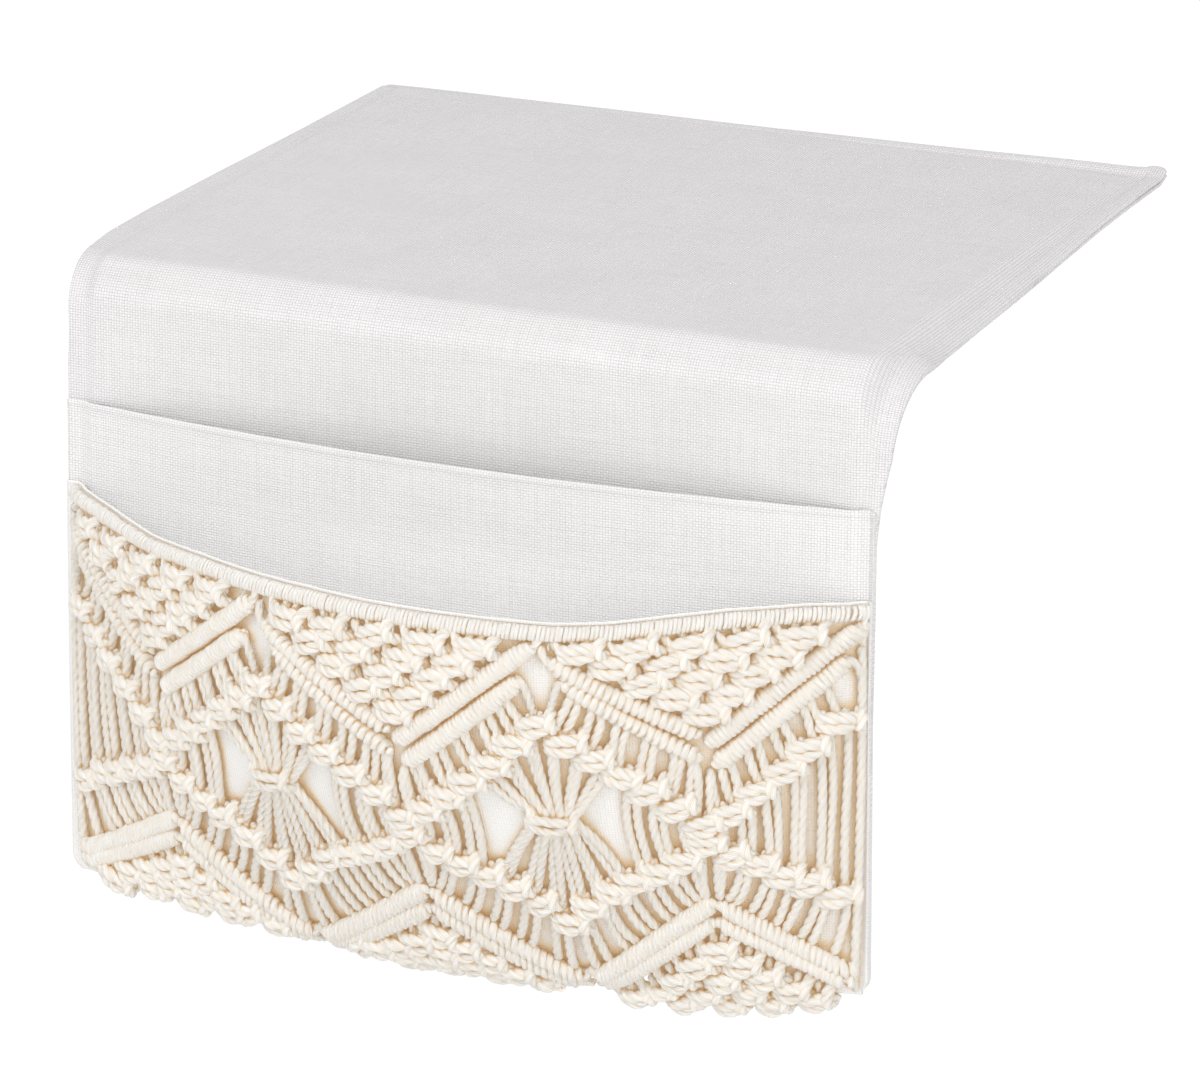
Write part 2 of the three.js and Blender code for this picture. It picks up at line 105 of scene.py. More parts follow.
BEND_START = PANEL_HEIGHT - BEND_RADIUS
FLAP_START = BEND_START + math.pi / 2 * BEND_RADIUS
FAR_EDGE = FLAP_START + FLAP_DEPTH - BEND_RADIUS
BOARD_HALF_WIDTH = PANEL_HALF_WIDTH - BOARD_INSET
PANEL_BOARD_TOP = BEND_START - BOARD_SETBACK
FLAP_BOARD_START = FLAP_START + BOARD_SETBACK
FLAP_BOARD_END = FAR_EDGE - BOARD_INSET
PATH_BACK = -(BEND_RADIUS + FLAP_DEPTH) / 2
PATH_DOWN = -(PANEL_HEIGHT - BOARD_HALF_THICKNESS - LAY_GAP - CLOTH)
GRID_SIDE = BOARD_HALF_WIDTH - 0.002

# Sizes of the pockets

POCKET_HALF_WIDTH = 0.170
SIDE_SEAM = PANEL_HALF_WIDTH - POCKET_HALF_WIDTH
SEAM_HEIGHT = 0.001
WIDTH_POWER = 1.9
DEPTH_POWER = 2.3
REAR_HEIGHT = 0.199
REAR_BULGE = 0.015
REAR_FOLD = 0.003
REAR_FOLD_EXTRA = 0.5
FRONT_HEIGHT = 0.166
FRONT_BULGE = 0.072
FRONT_RIM_SAG = 0.005
FRONT_DROOP = 0.015
DROOP_SHARE = 0.075
LINING_GAP = 0.0006

# The shares of the rear pocket's height between which its painted glow fades out, upwards
POCKET_PAINTED_GLOW_FADES = (0.93, 0.76)

# Sizes of the knotwork

CORD = 0.0034
LAY_LENGTH = 0.0145
NET_CLEARANCE = 0.0004
HEADING_TOP = 0.0018
HEADING_HEIGHT = 0.0062
CORD_COUNT = 72
HALF_REPEAT = 12
CROWD_SHARE = 0.05
RIDE_LOW_SHARE = 0.045
# The share of the pocket's height where the net leaves the lining, the share over which it
# turns, and how far it then leans back
HANG_FROM_SHARE = 0.045
HANG_TURN_SHARE = 0.04
HANG_LEAN = math.radians(36)
NET_TOP = 1 - (HEADING_TOP + HEADING_HEIGHT + LAY_GAP) / FRONT_HEIGHT
NET_HEIGHT = NET_TOP * FRONT_HEIGHT
CORD_PITCH = 2 * POCKET_HALF_WIDTH / CORD_COUNT
FEET = (12, 36, 60)
TIPS = (24, 48)


# Small numeric helpers

def smooth(low, high, value):
    """Nought below low and one above high, with an eased rise between them."""
    t = np.clip((value - low) / (high - low), 0, 1)
    return t * t * (3 - 2 * t)


def swell(share):
    """Rises from nought to one where the share is one, then dies away."""
    return share * np.exp(1 - share)


def unit(vectors):
    """Vectors brought to a length of one."""
    length = np.linalg.norm(vectors, axis=-1, keepdims=True)
    return vectors / np.maximum(length, 1e-12)


def waves(x, y, seed, length, count=7):
    """A smooth random field of unit size: a sum of plane waves with random headings."""
    local = np.random.default_rng(seed)
    total = np.zeros(np.broadcast(x, y).shape)
    for _ in range(count):
        heading = local.uniform(0, 2 * math.pi)
        pace = 2 * math.pi / (length * local.uniform(0.7, 1.6))
        phase = local.uniform(0, 2 * math.pi)
        total += np.sin(pace * (x * math.cos(heading) + y * math.sin(heading)) + phase)
    return total / math.sqrt(count)


# Meshes from arrays

def new_object(name, data):
    """An object in the scene."""
    thing = bpy.data.objects.new(name, data)
    bpy.context.scene.collection.objects.link(thing)
    return thing


def new_mesh(name, points, face_lists, uv_lists=None, values=None):
    """A mesh object from an array of points and several arrays of faces, each of one size."""
    mesh = bpy.data.meshes.new(name)
    corners = np.concatenate([np.asarray(f, np.int32).ravel() for f in face_lists])
    sizes = np.concatenate([np.full(len(f), np.asarray(f).shape[1]) for f in face_lists])
    starts = np.concatenate([[0], np.cumsum(sizes)[:-1]]).astype(np.int32)
    mesh.vertices.add(len(points))
    mesh.vertices.foreach_set("co", np.ascontiguousarray(points, np.float32).ravel())
    mesh.loops.add(len(corners))
    mesh.loops.foreach_set("vertex_index", corners.astype(np.int32))
    mesh.polygons.add(len(sizes))
    mesh.polygons.foreach_set("loop_start", starts)
    mesh.polygons.foreach_set("use_smooth", np.ones(len(sizes), bool))
    mesh.update(calc_edges=True)
    if uv_lists is not None:
        layer = mesh.uv_layers.new(name="lay")
        uv = np.concatenate([np.asarray(u, np.float32).reshape(-1, 2) for u in uv_lists])
        layer.data.foreach_set("uv", uv.ravel())
    for key, array in (values or {}).items():
        attribute = mesh.attributes.new(key, "FLOAT", "POINT")
        attribute.data.foreach_set("value", np.asarray(array, np.float32))
    mesh.validate()
    return new_object(name, mesh)


def grid_faces(rows, columns, first=0, flip=False):
    """The four-sided faces of a grid of points, row after row."""
    at = first + np.arange(rows * columns).reshape(rows, columns)
    faces = np.stack([at[:-1, :-1], at[:-1, 1:], at[1:, 1:], at[1:, :-1]], -1).reshape(-1, 4)
    return faces[:, ::-1] if flip else faces


def border(rows, columns):
    """The places of a grid's outermost points, once round."""
    at = np.arange(rows * columns).reshape(rows, columns)
    return np.concatenate([at[0, :-1], at[:-1, -1], at[-1, :0:-1], at[:0:-1, 0]])


def closed_sheet(name, outer, inner, flat, values=None):
    """A cloth between two grids of points, with a rounded edge all round. The edge is a ring
    of points half way through the cloth, pushed out past it by a share of its thickness."""
    rows, columns = outer.shape[:2]
    count = rows * columns
    ring = border(rows, columns)
    front, back = outer.reshape(-1, 3), inner.reshape(-1, 3)
    inward = np.concatenate([outer[1, :-1], outer[:-1, -2], outer[-2, :0:-1], outer[:0:-1, 1]])
    thickness = np.linalg.norm(front[ring] - back[ring], axis=1)[:, None]
    push = unit(front[ring] - inward) * thickness
    middle = (front[ring] + back[ring]) / 2 + EDGE_ROUND * push
    points = np.concatenate([front, back, middle])
    after = np.roll(ring, -1)
    mid = 2 * count + np.arange(len(ring))
    mid_after = np.roll(mid, -1)
    faces = np.concatenate([
        grid_faces(rows, columns), grid_faces(rows, columns, count, True),
        np.stack([after, ring, mid, mid_after], -1),
        np.stack([mid_after, mid, ring + count, after + count], -1)])
    if signed_volume(points, faces) < 0:
        faces = faces[:, ::-1]

    def on_all(grid):
        return np.concatenate([grid, grid, grid[ring]])
    data = {key: on_all(value.ravel()) for key, value in (values or {}).items()}
    return new_mesh(name, points, [faces], [on_all(flat.reshape(-1, 2))[faces]], data)


def signed_volume(points, faces):
    """Six times the volume inside four-sided faces, below nought where they face inwards."""
    a, b, c, d = (points[faces[:, i]] for i in range(4))
    return (np.cross(a, b) * c + np.cross(a, c) * d).sum()


# The cloth's path

def path_at(along, radius, dent):
    """Places and outward directions on the path: straight up, a quarter turn, straight back."""
    turn = np.clip((along - BEND_START) / (FLAP_START - BEND_START), 0, 1) * math.pi / 2
    ny, nz = -np.cos(turn), np.sin(turn)
    low = np.minimum(along / BEND_START, 1)
    back = np.maximum(along - FLAP_START, 0) / (FAR_EDGE - FLAP_START)
    arc = radius - dent * np.sin(2 * turn) ** 2
    y = radius + arc * ny + back * (FLAP_DEPTH - radius)
    z = (PANEL_HEIGHT - radius) * low + arc * nz
    return y, z, ny, nz


def cloth_offset(x, along):
    """How far the cloth stands off the path: out over a board and across the bend between the
    boards, and in to the margin beyond them."""
    def over(inside):
        return smooth(-EMBOSS_STEP, 0, inside + LAY_GAP)
    across = over(BOARD_HALF_WIDTH - np.abs(x))
    on_panel = np.minimum(over(along - BOARD_INSET), over(PANEL_BOARD_TOP - along))
    on_flap = np.minimum(over(along - FLAP_BOARD_START), over(FLAP_BOARD_END - along))
    rising = smooth(BEND_START - BEND_EASE, BEND_START, along)
    on_bend = BEND_LIFT_SHARE * rising * (1 - smooth(FLAP_START, FLAP_START + BEND_EASE, along))
    lift = BOARD_HALF_THICKNESS + LAY_GAP / 2
    return LAY_GAP / 2 + across * np.maximum(np.maximum(on_panel, on_flap), on_bend) * lift


def half_width_at(x, along):
    """Half the cloth's width, with its corners rounded. Its edges wander a little."""
    def rounded(radius, inside):
        short = np.clip(radius - inside, 0, radius)
        return radius - np.sqrt(radius * radius - short * short)
    right, left = (np.interp(along, EDGE_AT, out) for out in (RIGHT_EDGE_OUT, LEFT_EDGE_OUT))
    return (PANEL_HALF_WIDTH + np.where(x > 0, right, left) - rounded(PANEL_CORNER, along)
            - rounded(FLAP_CORNER, FAR_EDGE - along))


def in_margin(x, along):
    """How a point lies across the cloth: how far in over the boards, how far beyond their sides
    on the grid and on the cloth itself, the bend's radius there, and how far it has grown from
    the boards' to the margin's."""
    inner = np.minimum(np.abs(x), BOARD_HALF_WIDTH)
    beyond = np.abs(x) - inner
    margin = beyond / BOARD_INSET * (half_width_at(x, along) - BOARD_HALF_WIDTH)
    edge = smooth(0, MARGIN_TURN, beyond)
    radius = MIDDLE_BEND + (np.where(x > 0, MARGIN_BEND, LEFT_MARGIN_BEND) - MIDDLE_BEND) * edge
    return inner, beyond, margin, radius, edge


def weave_place(x, along):
    """Where a point lies on the flat cloth: measured up from the bottom edge before the bend and
    back from the far edge after it, with the difference taken up evenly round the bend."""
    inner, _, margin, radius, _ = in_margin(x, along)
    turn = np.clip((along - BEND_START) / (FLAP_START - BEND_START), 0, 1)
    before = (PANEL_HEIGHT - radius) * np.minimum(along / BEND_START, 1)
    after = (FLAP_DEPTH - radius) * np.maximum(along - FLAP_START, 0) / (FAR_EDGE - FLAP_START)
    round_bend = 2 * radius - (2 - math.pi / 2) * MIDDLE_BEND
    return np.stack([np.sign(x) * (inner + margin), before + round_bend * turn + after], -1)


def cloth_point(x, along, offset):
    """A point of the doubled cloth. The bend is tight over the boards and rounder in the
    margins, and the margins hang down behind it, the right one the most."""
    inner, beyond, margin, radius, edge = in_margin(x, along)
    y, z, ny, nz = path_at(along, radius, BEND_DENT * (1 - edge))
    behind = along - FLAP_START
    settled = smooth(*DROOP_GROWS, behind) * (1 - DROOP_LOSS * smooth(0, DROOP_FADES, behind))
    droop = np.where(x > 0, RIGHT_DROOP, LEFT_DROOP)
    angle = droop * settled * beyond / (beyond + EMBOSS_STEP / 2)
    lean = angle * smooth(0, 1, beyond / EMBOSS_STEP)
    out = margin * np.cos(angle) + offset * np.sin(lean)
    rise = offset * np.cos(lean) - margin * np.sin(angle)
    hem = np.interp(x, FAR_RISE_AT, FAR_RISE) * smooth(FLAP_BOARD_END + 0.001, FAR_EDGE, along)
    return np.stack([np.sign(x) * (inner + out), y + rise * ny + PATH_BACK,
                     z + rise * nz + PATH_DOWN + hem], -1)


def lines_between(*stretches):
    """Grid lines: each stretch is where it starts, where it ends and how many steps it takes."""
    return np.unique(np.concatenate([np.linspace(a, b, n + 1) for a, b, n in stretches]))


def both_sides(*stretches):
    """Grid lines out from the middle, the same to both sides."""
    half = lines_between(*stretches)
    return np.concatenate([-half[:0:-1], half])


def corner_lines(radius, count):
    """Grid lines that follow a rounded corner."""
    return radius * (1 - np.cos(np.linspace(0, math.pi / 2, count)))


def cloth_grid():
    """Places across and along the cloth, closer together at the boards' edges and the bend."""
    edge = BOARD_HALF_WIDTH + 0.004
    across = both_sides((0, GRID_SIDE, 44), (GRID_SIDE, edge, 8), (edge, PANEL_HALF_WIDTH, 13))
    stops = (PANEL_CORNER, BOARD_INSET + 0.002, PANEL_BOARD_TOP - 0.004,
             FLAP_BOARD_START + 0.006, FLAP_BOARD_END - 0.002, FAR_EDGE - FLAP_CORNER)
    middle = lines_between(*zip(stops, stops[1:], (8, 52, 56, 70, 14)))
    ends = corner_lines(PANEL_CORNER, 8), FAR_EDGE - corner_lines(FLAP_CORNER, 6)
    return np.meshgrid(across, np.unique(np.round(np.concatenate([middle, *ends]), 7)))


def edge_fold(x, along):
    """One where the cloth's edge is turned in and lies double, along the flap's sides and far
    edge and above the pockets on the panel. Its section is part of a circle."""
    radius = EDGE_FOLD_WIDTH / (1 + ROLL_MIDDLE)

    def rolled(inside):
        place = np.clip(inside, 0, 2 * radius) / radius - ROLL_MIDDLE
        return np.sqrt(np.clip(1 - place ** 2, 0, 1)) * (place < 1)
    grown = smooth(FLAP_START, FLAP_START + FOLD_GROWS, along)
    side = rolled(PANEL_HALF_WIDTH - np.abs(x)) * np.where(x > 0, 1, LEFT_FOLD_SHARE)
    side = side * (PANEL_FOLD_SHARE + (1 - PANEL_FOLD_SHARE) * grown)
    side = side * smooth(REAR_HEIGHT + 0.006, REAR_HEIGHT + 0.016, along)
    return np.maximum(side, FAR_FOLD_SHARE * rolled(FAR_EDGE - along))


def canvas_piece(name, side):
    """One of the two cloths that run from the flap's far edge over the bend to the panel's
    bottom. Side is 1 for the face, which ripples a little, and -1 for the backing."""
    x, along = cloth_grid()
    rest = cloth_offset(x, along)
    inside = np.clip((BOARD_HALF_WIDTH - np.abs(x)) / RIPPLE_INSET, 0, 1)
    height = RIPPLE_HEIGHT * (RIPPLE_AT_SIDES + (1 - RIPPLE_AT_SIDES) * inside) * (side > 0)
    ripple = height * waves(x, along, 11 + side, RIPPLE_LENGTH)
    thickness = CLOTH * (1 + FOLD_THICKNESS * edge_fold(x, along))
    outer = cloth_point(x, along, side * (rest + thickness) + ripple)
    inner = cloth_point(x, along, side * rest + ripple)
    return closed_sheet(name, outer, inner, weave_place(x, along))


# The pockets

REAR = {"height": REAR_HEIGHT, "sag": 0, "droop": 0, "bulge": REAR_BULGE, "stand": LAY_GAP}
FRONT = {"height": FRONT_HEIGHT, "sag": FRONT_RIM_SAG, "droop": FRONT_DROOP,
         "bulge": FRONT_BULGE, "stand": LAY_GAP + CLOTH + LINING_GAP}
# Where the front pocket's rim dips: places across, how far, and the shares of the pocket's
# height over which the dip grows
RIM_AT = (-0.17, -0.145, -0.118, -0.09, -0.035, 0.0, 0.03, 0.065, 0.085, 0.105, 0.125, 0.15, 0.17)
RIM_DIP = (0.0006, 0.0006, 0.0022, 0.0004, -0.0006, 0.0002, 0.0014, 0.0036, 0.0032, 0.0012, 0.0,
           0.0006, 0.0030)
RIM_DIP_GROWS = (0.89, 0.985)


def fullness(x):
    """How fully a pocket stands out across its width, nought at its side seams."""
    return np.maximum(0, 1 - np.abs(x / POCKET_HALF_WIDTH) ** WIDTH_POWER)


def pocket_point(pocket, x, share):
    """A point of a pocket's back face, at a share of the way from its bottom seam to its rim."""
    full = fullness(x)
    rim = pocket["height"] - pocket["sag"] * full
    drop = pocket["droop"] * full * swell(share / DROOP_SHARE)
    dip = np.interp(x, RIM_AT, RIM_DIP) * (pocket is FRONT) * smooth(*RIM_DIP_GROWS, share)
    z = SEAM_HEIGHT + (rim - SEAM_HEIGHT) * share - drop - dip
    rest = cloth_offset(x, PANEL_HEIGHT / 2) + CLOTH
    out = pocket["bulge"] * full * (1 - np.sign(1 - share) * np.abs(1 - share) ** DEPTH_POWER)
    return np.stack([x + 0 * share, PATH_BACK - rest - pocket["stand"] - out, z + PATH_DOWN], -1)


def off_pocket(pocket, x, share, offset):
    """A point straight out from a pocket's back face, and the direction straight out."""
    pace = 0.0015
    aside = pace * PANEL_HALF_WIDTH
    across = pocket_point(pocket, x + aside, share) - pocket_point(pocket, x - aside, share)
    high = np.minimum(share + pace, 1)
    up = pocket_point(pocket, x, high) - pocket_point(pocket, x, high - 2 * pace)
    normal = unit(np.cross(across, up))
    return pocket_point(pocket, x, share) + normal * np.asarray(offset)[..., None], normal


def pocket_x(column, share, height):
    """The place across of a column: past the side seams it runs out to the panel's own edge."""
    inner = np.minimum(np.abs(column), POCKET_HALF_WIDTH)
    reach = np.maximum(half_width_at(column, SEAM_HEIGHT + share * height), inner)
    return np.sign(column) * (inner + (np.abs(column) - inner) / SIDE_SEAM * (reach - inner))


def pocket_grid(height, across, stops, steps):
    """A pocket's grid: columns closer together at its side seams, and shares of its height,
    closer together at its bottom corners and then in even steps between the stops."""
    columns = both_sides((0, GRID_SIDE, across), (GRID_SIDE, POCKET_HALF_WIDTH, 10),
                         (POCKET_HALF_WIDTH, PANEL_HALF_WIDTH, 4))
    corner = corner_lines(PANEL_CORNER / height, 7)
    shares = lines_between(*zip((corner[-1], *stops), (*stops, 1), steps))
    return np.meshgrid(columns, np.unique(np.concatenate([corner, shares])))


def pocket_piece(name, pocket, column, share, thickness, values):
    """A pocket's cloth on its grid, of a thickness that may change over it."""
    x = pocket_x(column, share, pocket["height"])
    outer, _ = off_pocket(pocket, x, share, thickness)
    inner, _ = off_pocket(pocket, x, share, 0 * x)
    flat = np.stack([column, share * pocket["height"]], -1)
    return closed_sheet(name, outer, inner, flat, values)


def rear_pocket():
    """The rear pocket's canvas. Its mouth is a plain folded edge, a little thicker."""
    fold = 1 - REAR_FOLD / REAR_HEIGHT
    column, share = pocket_grid(REAR_HEIGHT, 60, (fold,), (64, 8))
    thickness = CLOTH * (1 + REAR_FOLD_EXTRA * smooth(fold, (fold + 1) / 2, share))
    # Painted light: a glow over the rear pocket's shaded lower part, fading out towards its mouth
    # and its side seams
    pocket_painted_glow = smooth(*POCKET_PAINTED_GLOW_FADES, share) * np.sqrt(fullness(column))
    return pocket_piece("rear_pocket_cloth", REAR, column, share, thickness, {"pocket_painted_glow": pocket_painted_glow})


def facing(across, share, out):
    """A point in front of the lining, and the direction straight out. Across is a share of the
    net's width, and out is measured from the net's own back face. Near the pocket's foot the
    net leaves the lining and hangs down, leaning back a little."""
    middle = across - 0.5
    crowded = middle + CROWD_SHARE * np.sin(2 * math.pi * middle) / (2 * math.pi)
    x = 2 * (POCKET_HALF_WIDTH - NET_CLEARANCE) * crowded
    low = RIDE_LOW_SHARE * fullness(x) * np.sin(math.pi * np.clip(share, 0, 1))
    held = np.maximum(share - low, HANG_FROM_SHARE)
    base, normal = off_pocket(FRONT, x, held, 0 * x)
    free = (held - share + low)[..., None]
    down = np.array([0, math.sin(HANG_LEAN), -math.cos(HANG_LEAN)])
    front = np.array([0, -math.cos(HANG_LEAN), -math.sin(HANG_LEAN)])
    normal = unit(normal + (front - normal) * smooth(0, HANG_TURN_SHARE, free))
    offset = np.asarray(CLOTH + NET_CLEARANCE + out)[..., None]
    return base + free * FRONT_HEIGHT * down + normal * offset, normal


def on_net(places):
    """Points and outward directions for pattern places: cords across, share up, metres out."""
    count, up, out = places[..., 0], places[..., 1], places[..., 2]
    return facing(count / CORD_COUNT, up * NET_TOP, out)


# Twisted cord

# Points in each ring of a cord
SIDES = 12


def curve_through(knots, steps):
    """A Catmull-Rom curve through rows of control points, with steps samples for each span."""
    ahead = 2 * knots[:, :1] - knots[:, 1:2]
    behind = 2 * knots[:, -1:] - knots[:, -2:-1]
    p = np.concatenate([ahead, knots, behind], 1)
    t = (np.arange(steps) / steps)[None, None, :, None]
    a, b, c, d = (p[:, i:p.shape[1] - 3 + i, None, :] for i in range(4))
    spans = 0.5 * (2 * b + (c - a) * t + (2 * a - 5 * b + 4 * c - d) * t ** 2
                   + (3 * b - a - 3 * c + d) * t ** 3)
    return np.concatenate([spans.reshape(len(knots), -1, knots.shape[-1]), knots[:, -1:]], 1)


# Plies: how many, how far each lies off the cord's middle, its radius, and how much painted
# shade lies in the grooves between them
PLIES = 3
PLY_OFF = 0.45
PLY_RADIUS = 0.55
PLY_GROOVE_SHADE = 0.64
# How thin a cord's last ring is, and the one before it
END_TAPER = (0.45, 0.85)


def mirrored(vectors, across):
    """Vectors mirrored in the plane that is square to another vector."""
    size = np.maximum((across * across).sum(-1, keepdims=True), 1e-18)
    return vectors - 2 / size * (across * vectors).sum(-1, keepdims=True) * across


def carried_along(points):
    """Two directions square to each cord at each of its points. The first is carried along
    without twist, mirrored across each step and then across the change of direction."""
    tangent = unit(np.gradient(points, axis=1))
    start = np.where(np.abs(tangent[:, 0, :1]) < 0.8, [[1.0, 0, 0]], [[0, 1.0, 0]])
    carried = [unit(np.cross(tangent[:, 0], start))]
    for i in range(points.shape[1] - 1):
        step = points[:, i + 1] - points[:, i]
        change = tangent[:, i + 1] - mirrored(tangent[:, i], step)
        carried.append(unit(mirrored(mirrored(carried[-1], step), change)))
    across = np.stack(carried, 1)
    return across, np.cross(tangent, across)


def cord_rings(points, radius, round_share, sides=SIDES, lay=LAY_LENGTH):
    """Rings of points round cords of twisted plies. The section is the outline of merged round
    plies, and it turns steadily along the cord."""
    across, other = carried_along(points)
    steps = np.linalg.norm(np.diff(points, axis=1), axis=-1)
    length = np.concatenate([np.zeros((len(points), 1)), np.cumsum(steps, 1)], 1)
    place = np.arange(sides) * 2 * math.pi / sides
    half = math.pi / PLIES
    ply = (place + half) % (2 * half) - half
    outline = PLY_OFF * np.cos(ply) + np.sqrt(PLY_RADIUS ** 2 - (PLY_OFF * np.sin(ply)) ** 2)
    outline = outline + (1 - outline) * round_share
    groove = (np.abs(ply) / half) ** 2
    phase = rng.uniform(0, 2 * math.pi, (len(points), 1))
    theta = place + (length * 2 * math.pi / lay + phase)[..., None]
    size = np.broadcast_to(radius, points.shape[:2])[..., None] * outline
    ring = (points[:, :, None] + (size * np.cos(theta))[..., None] * across[:, :, None]
            + (size * np.sin(theta))[..., None] * other[:, :, None])
    return ring, length, groove


def cord_batch(points, outward, radius, round_share=0.30, groove_shade=PLY_GROOVE_SHADE, **look):
    """The points, faces, flat places and painted shade of a batch of cords. Depth, the share
    of painted shade, is one in the grooves between plies and on the side that faces the lining."""
    taper = np.ones(points.shape[1])
    taper[[0, -1]], taper[[1, -2]] = END_TAPER
    ring, length, groove = cord_rings(points, radius * taper, round_share, **look)
    cords, count, sides = ring.shape[:3]
    at = np.arange(cords * count * sides).reshape(cords, count, sides)
    after = np.roll(at, -1, axis=2)
    quads = np.stack([at[:, :-1], after[:, :-1], after[:, 1:], at[:, 1:]], -1).reshape(-1, 4)
    caps = np.concatenate([at[:, 0, ::-1], at[:, -1]])
    spoke = ring - points[:, :, None]
    facing_out = (spoke * outward[:, :, None]).sum(-1)
    facing_out = facing_out / np.maximum(np.linalg.norm(spoke, axis=-1), 1e-9)
    # Painted shade: the ply grooves and the side turned to the lining are darkened
    depth = np.clip(groove_shade * groove + smooth(0.0, -0.9, facing_out), 0, 1)
    turn = np.arange(sides + 1) / sides
    near, far = (np.broadcast_to(u, (cords, count - 1, sides)) for u in (turn[:-1], turn[1:]))
    run = length[..., None] / LAY_LENGTH + rng.uniform(0, 40, (cords, 1, 1))
    low, high = (np.broadcast_to(v, near.shape) for v in (run[:, :-1], run[:, 1:]))
    uv = np.stack([np.stack(corner, -1) for corner in
                   ((near, low), (far, low), (far, high), (near, high))], -2)
    return {"points": ring.reshape(-1, 3), "quads": quads, "caps": caps,
            "uv": uv.reshape(-1, 2), "depth": depth.ravel()}


def cords_on_net(places, radius, steps=4, **look):
    """Cords through pattern places, laid onto the pocket."""
    path = curve_through(np.asarray(places, float), steps)
    points, outward = on_net(path)
    COVER.append(path[..., :2].reshape(-1, 2))
    return cord_batch(points, outward, radius, **look)


def cord_piece(name, batches, material):
    """One piece from several batches of cords."""
    points, uv, depth = (np.concatenate([b[key] for b in batches])
                         for key in ("points", "uv", "depth"))
    starts = np.cumsum([0] + [len(b["points"]) for b in batches[:-1]])
    quads = np.concatenate([b["quads"] + start for b, start in zip(batches, starts)])
    caps = [b["caps"] + start for b, start in zip(batches, starts)]
    cap_uvs = [np.zeros((cap.size, 2)) for cap in caps]
    piece = new_mesh(name, points, [quads] + caps, [uv] + cap_uvs, {"depth": depth})
    piece.data.materials.append(material)
    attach(piece, "panel")
    return piece


# Where cords are drawn in the pattern, for the shading of the lining
COVER = []

# The pattern's lines: shares of the net's height at the foot of each V and one, two and three
# thirds of the way to its tips, first on the side that falls to the foot and then on the side
# that rises from it

THIRDS = (0, 4, 8, 12)
UPPER_BARS = (
    ((0.752, 0.822, 0.892, 0.962), (0.716, 0.810, 0.904, 0.998)),
    ((0.690, 0.772, 0.853, 0.935), (0.646, 0.743, 0.839, 0.935)))
UPPER_CHAIN = ((0.525, 0.615, 0.705, 0.795), (0.490, 0.592, 0.693, 0.795))
LOWER_CHAIN = ((0.450, 0.388, 0.330, 0.240),) * 2
LOWER_BARS = (((0.288, 0.211, 0.135, 0.062),) * 2, ((0.240, 0.171, 0.101, 0.028),) * 2)
UPPER_CROSSING = 0.515
LOWER_CROSSING = 0.462
GATHER_SHARE = 0.538
FIELD_TOP_SHARE = 0.982
FIELD_ROW_SHARE = 0.0435
SKIRT_TOP_SHARE = 0.166
# The knots below each foot: how far apart their rows are, how much lower the rows hang in their
# middle, and how much they tilt
SKIRTS = ((12, 0.0278, -0.006, 0.022), (36, 0.0262, -0.002, -0.014), (60, 0.0402, 0.032, 0.003))
# The two fans: how far their cords lean towards the foot and how much more beside a tip, how far
# from the foot they meet the bar, and how far past the chain and the bar they run
UPPER_FAN = (1.4, 0.6, 10.3, -0.024, -0.010)
LOWER_FAN = (1.8, -1.3, 11.2, 0.024, 0.012)
# Where each bar starts and ends, in cords from the foot, on its left and on its right
UPPER_SPANS = (((0.1, 11.2), (0.5, 11.7)), ((0.1, 10.2), (1.0, 10.6)))
LOWER_SPANS = (((0.0, 11.2), (0.4, 11.6)), ((0.2, 11.0), (0.2, 11.4)))
# Where the cord that a bar is wound on runs past the bar's tip: cords further out, a share
# higher and cord diameters off the lining
UPPER_TAILS = (((0.35, 0.014, -0.10), (0.55, 0.032, -0.30), (0.65, 0.050, -0.60)),
               ((0.5, -0.014, -0.05), (0.95, -0.060, -0.20), (1.40, -0.120, -0.30)))
LOWER_TAILS = (((0.3, 0.004, -0.1), (0.5, 0.012, -0.4), (0.6, 0.02, -0.7)),
               ((0.3, -0.008, -0.1), (0.5, -0.02, -0.35), (0.55, -0.035, -0.6)))
# A bar's winding where it rises to the right and where it falls: its turns for every cord, its
# reach to each side in cord diameters, and how much that varies
RISING = (3, 0.66, 0.05)
FALLING = (2, 0.60, 0.10)
# How many turns a winding takes to reach its full size at each end, and how many points a turn has
END_TURNS = 1.6
TURN_POINTS = 12
# Radii in cord diameters: a bar's winding and its core above and below, a free cord and a hitch
WINDING_RADIUS = 0.56
UPPER_CORE_RADIUS = 0.55
LOWER_CORE_RADIUS = 0.50
FREE_RADIUS = 0.60
HITCH_RADIUS = 0.29
STITCH_RADIUS = 0.00035
# Cords that leave a knot together: how far each lies towards the other, in cords, and how far
# the front ones and the back ones lie out, in cord diameters
PAIR_CLOSER = 0.17
PAIR_FRONT = 0.14
PAIR_BACK = -0.04
# How far inside a chain its free cords end, and how short a stretch between two chains has none
CHAIN_INSIDE = 0.012
SHORTEST_FREE = 0.07
CHAIN_LOOK = {"size": 1.04, "tuck": (0.2, 0.2)}
FIELD_LOOK = {"size": 1.05, "wide": 1.06}


def foot_of(count):
    """The foot of the V that a cord belongs to."""
    nearest = np.clip(np.round((count - HALF_REPEAT) / (2 * HALF_REPEAT)), 0, 2)
    return nearest * 2 * HALF_REPEAT + HALF_REPEAT


def line_at(line, count):
    """The height of one of the pattern's lines."""
    away = np.abs(count - foot_of(count))
    left, right = (np.interp(away, THIRDS, heights) for heights in line)
    return np.where(count < foot_of(count), left, right)


def toward_tip(count):
    """Plus one where the nearest tip lies to the right, minus one where it lies to the left."""
    return np.where(count > foot_of(count), 1.0, -1.0)


# One flat knot, in cord diameters from its middle: across, up and out. Its wrapping cord passes
# over the two held cords, turns back behind the locking cord and passes over them again.

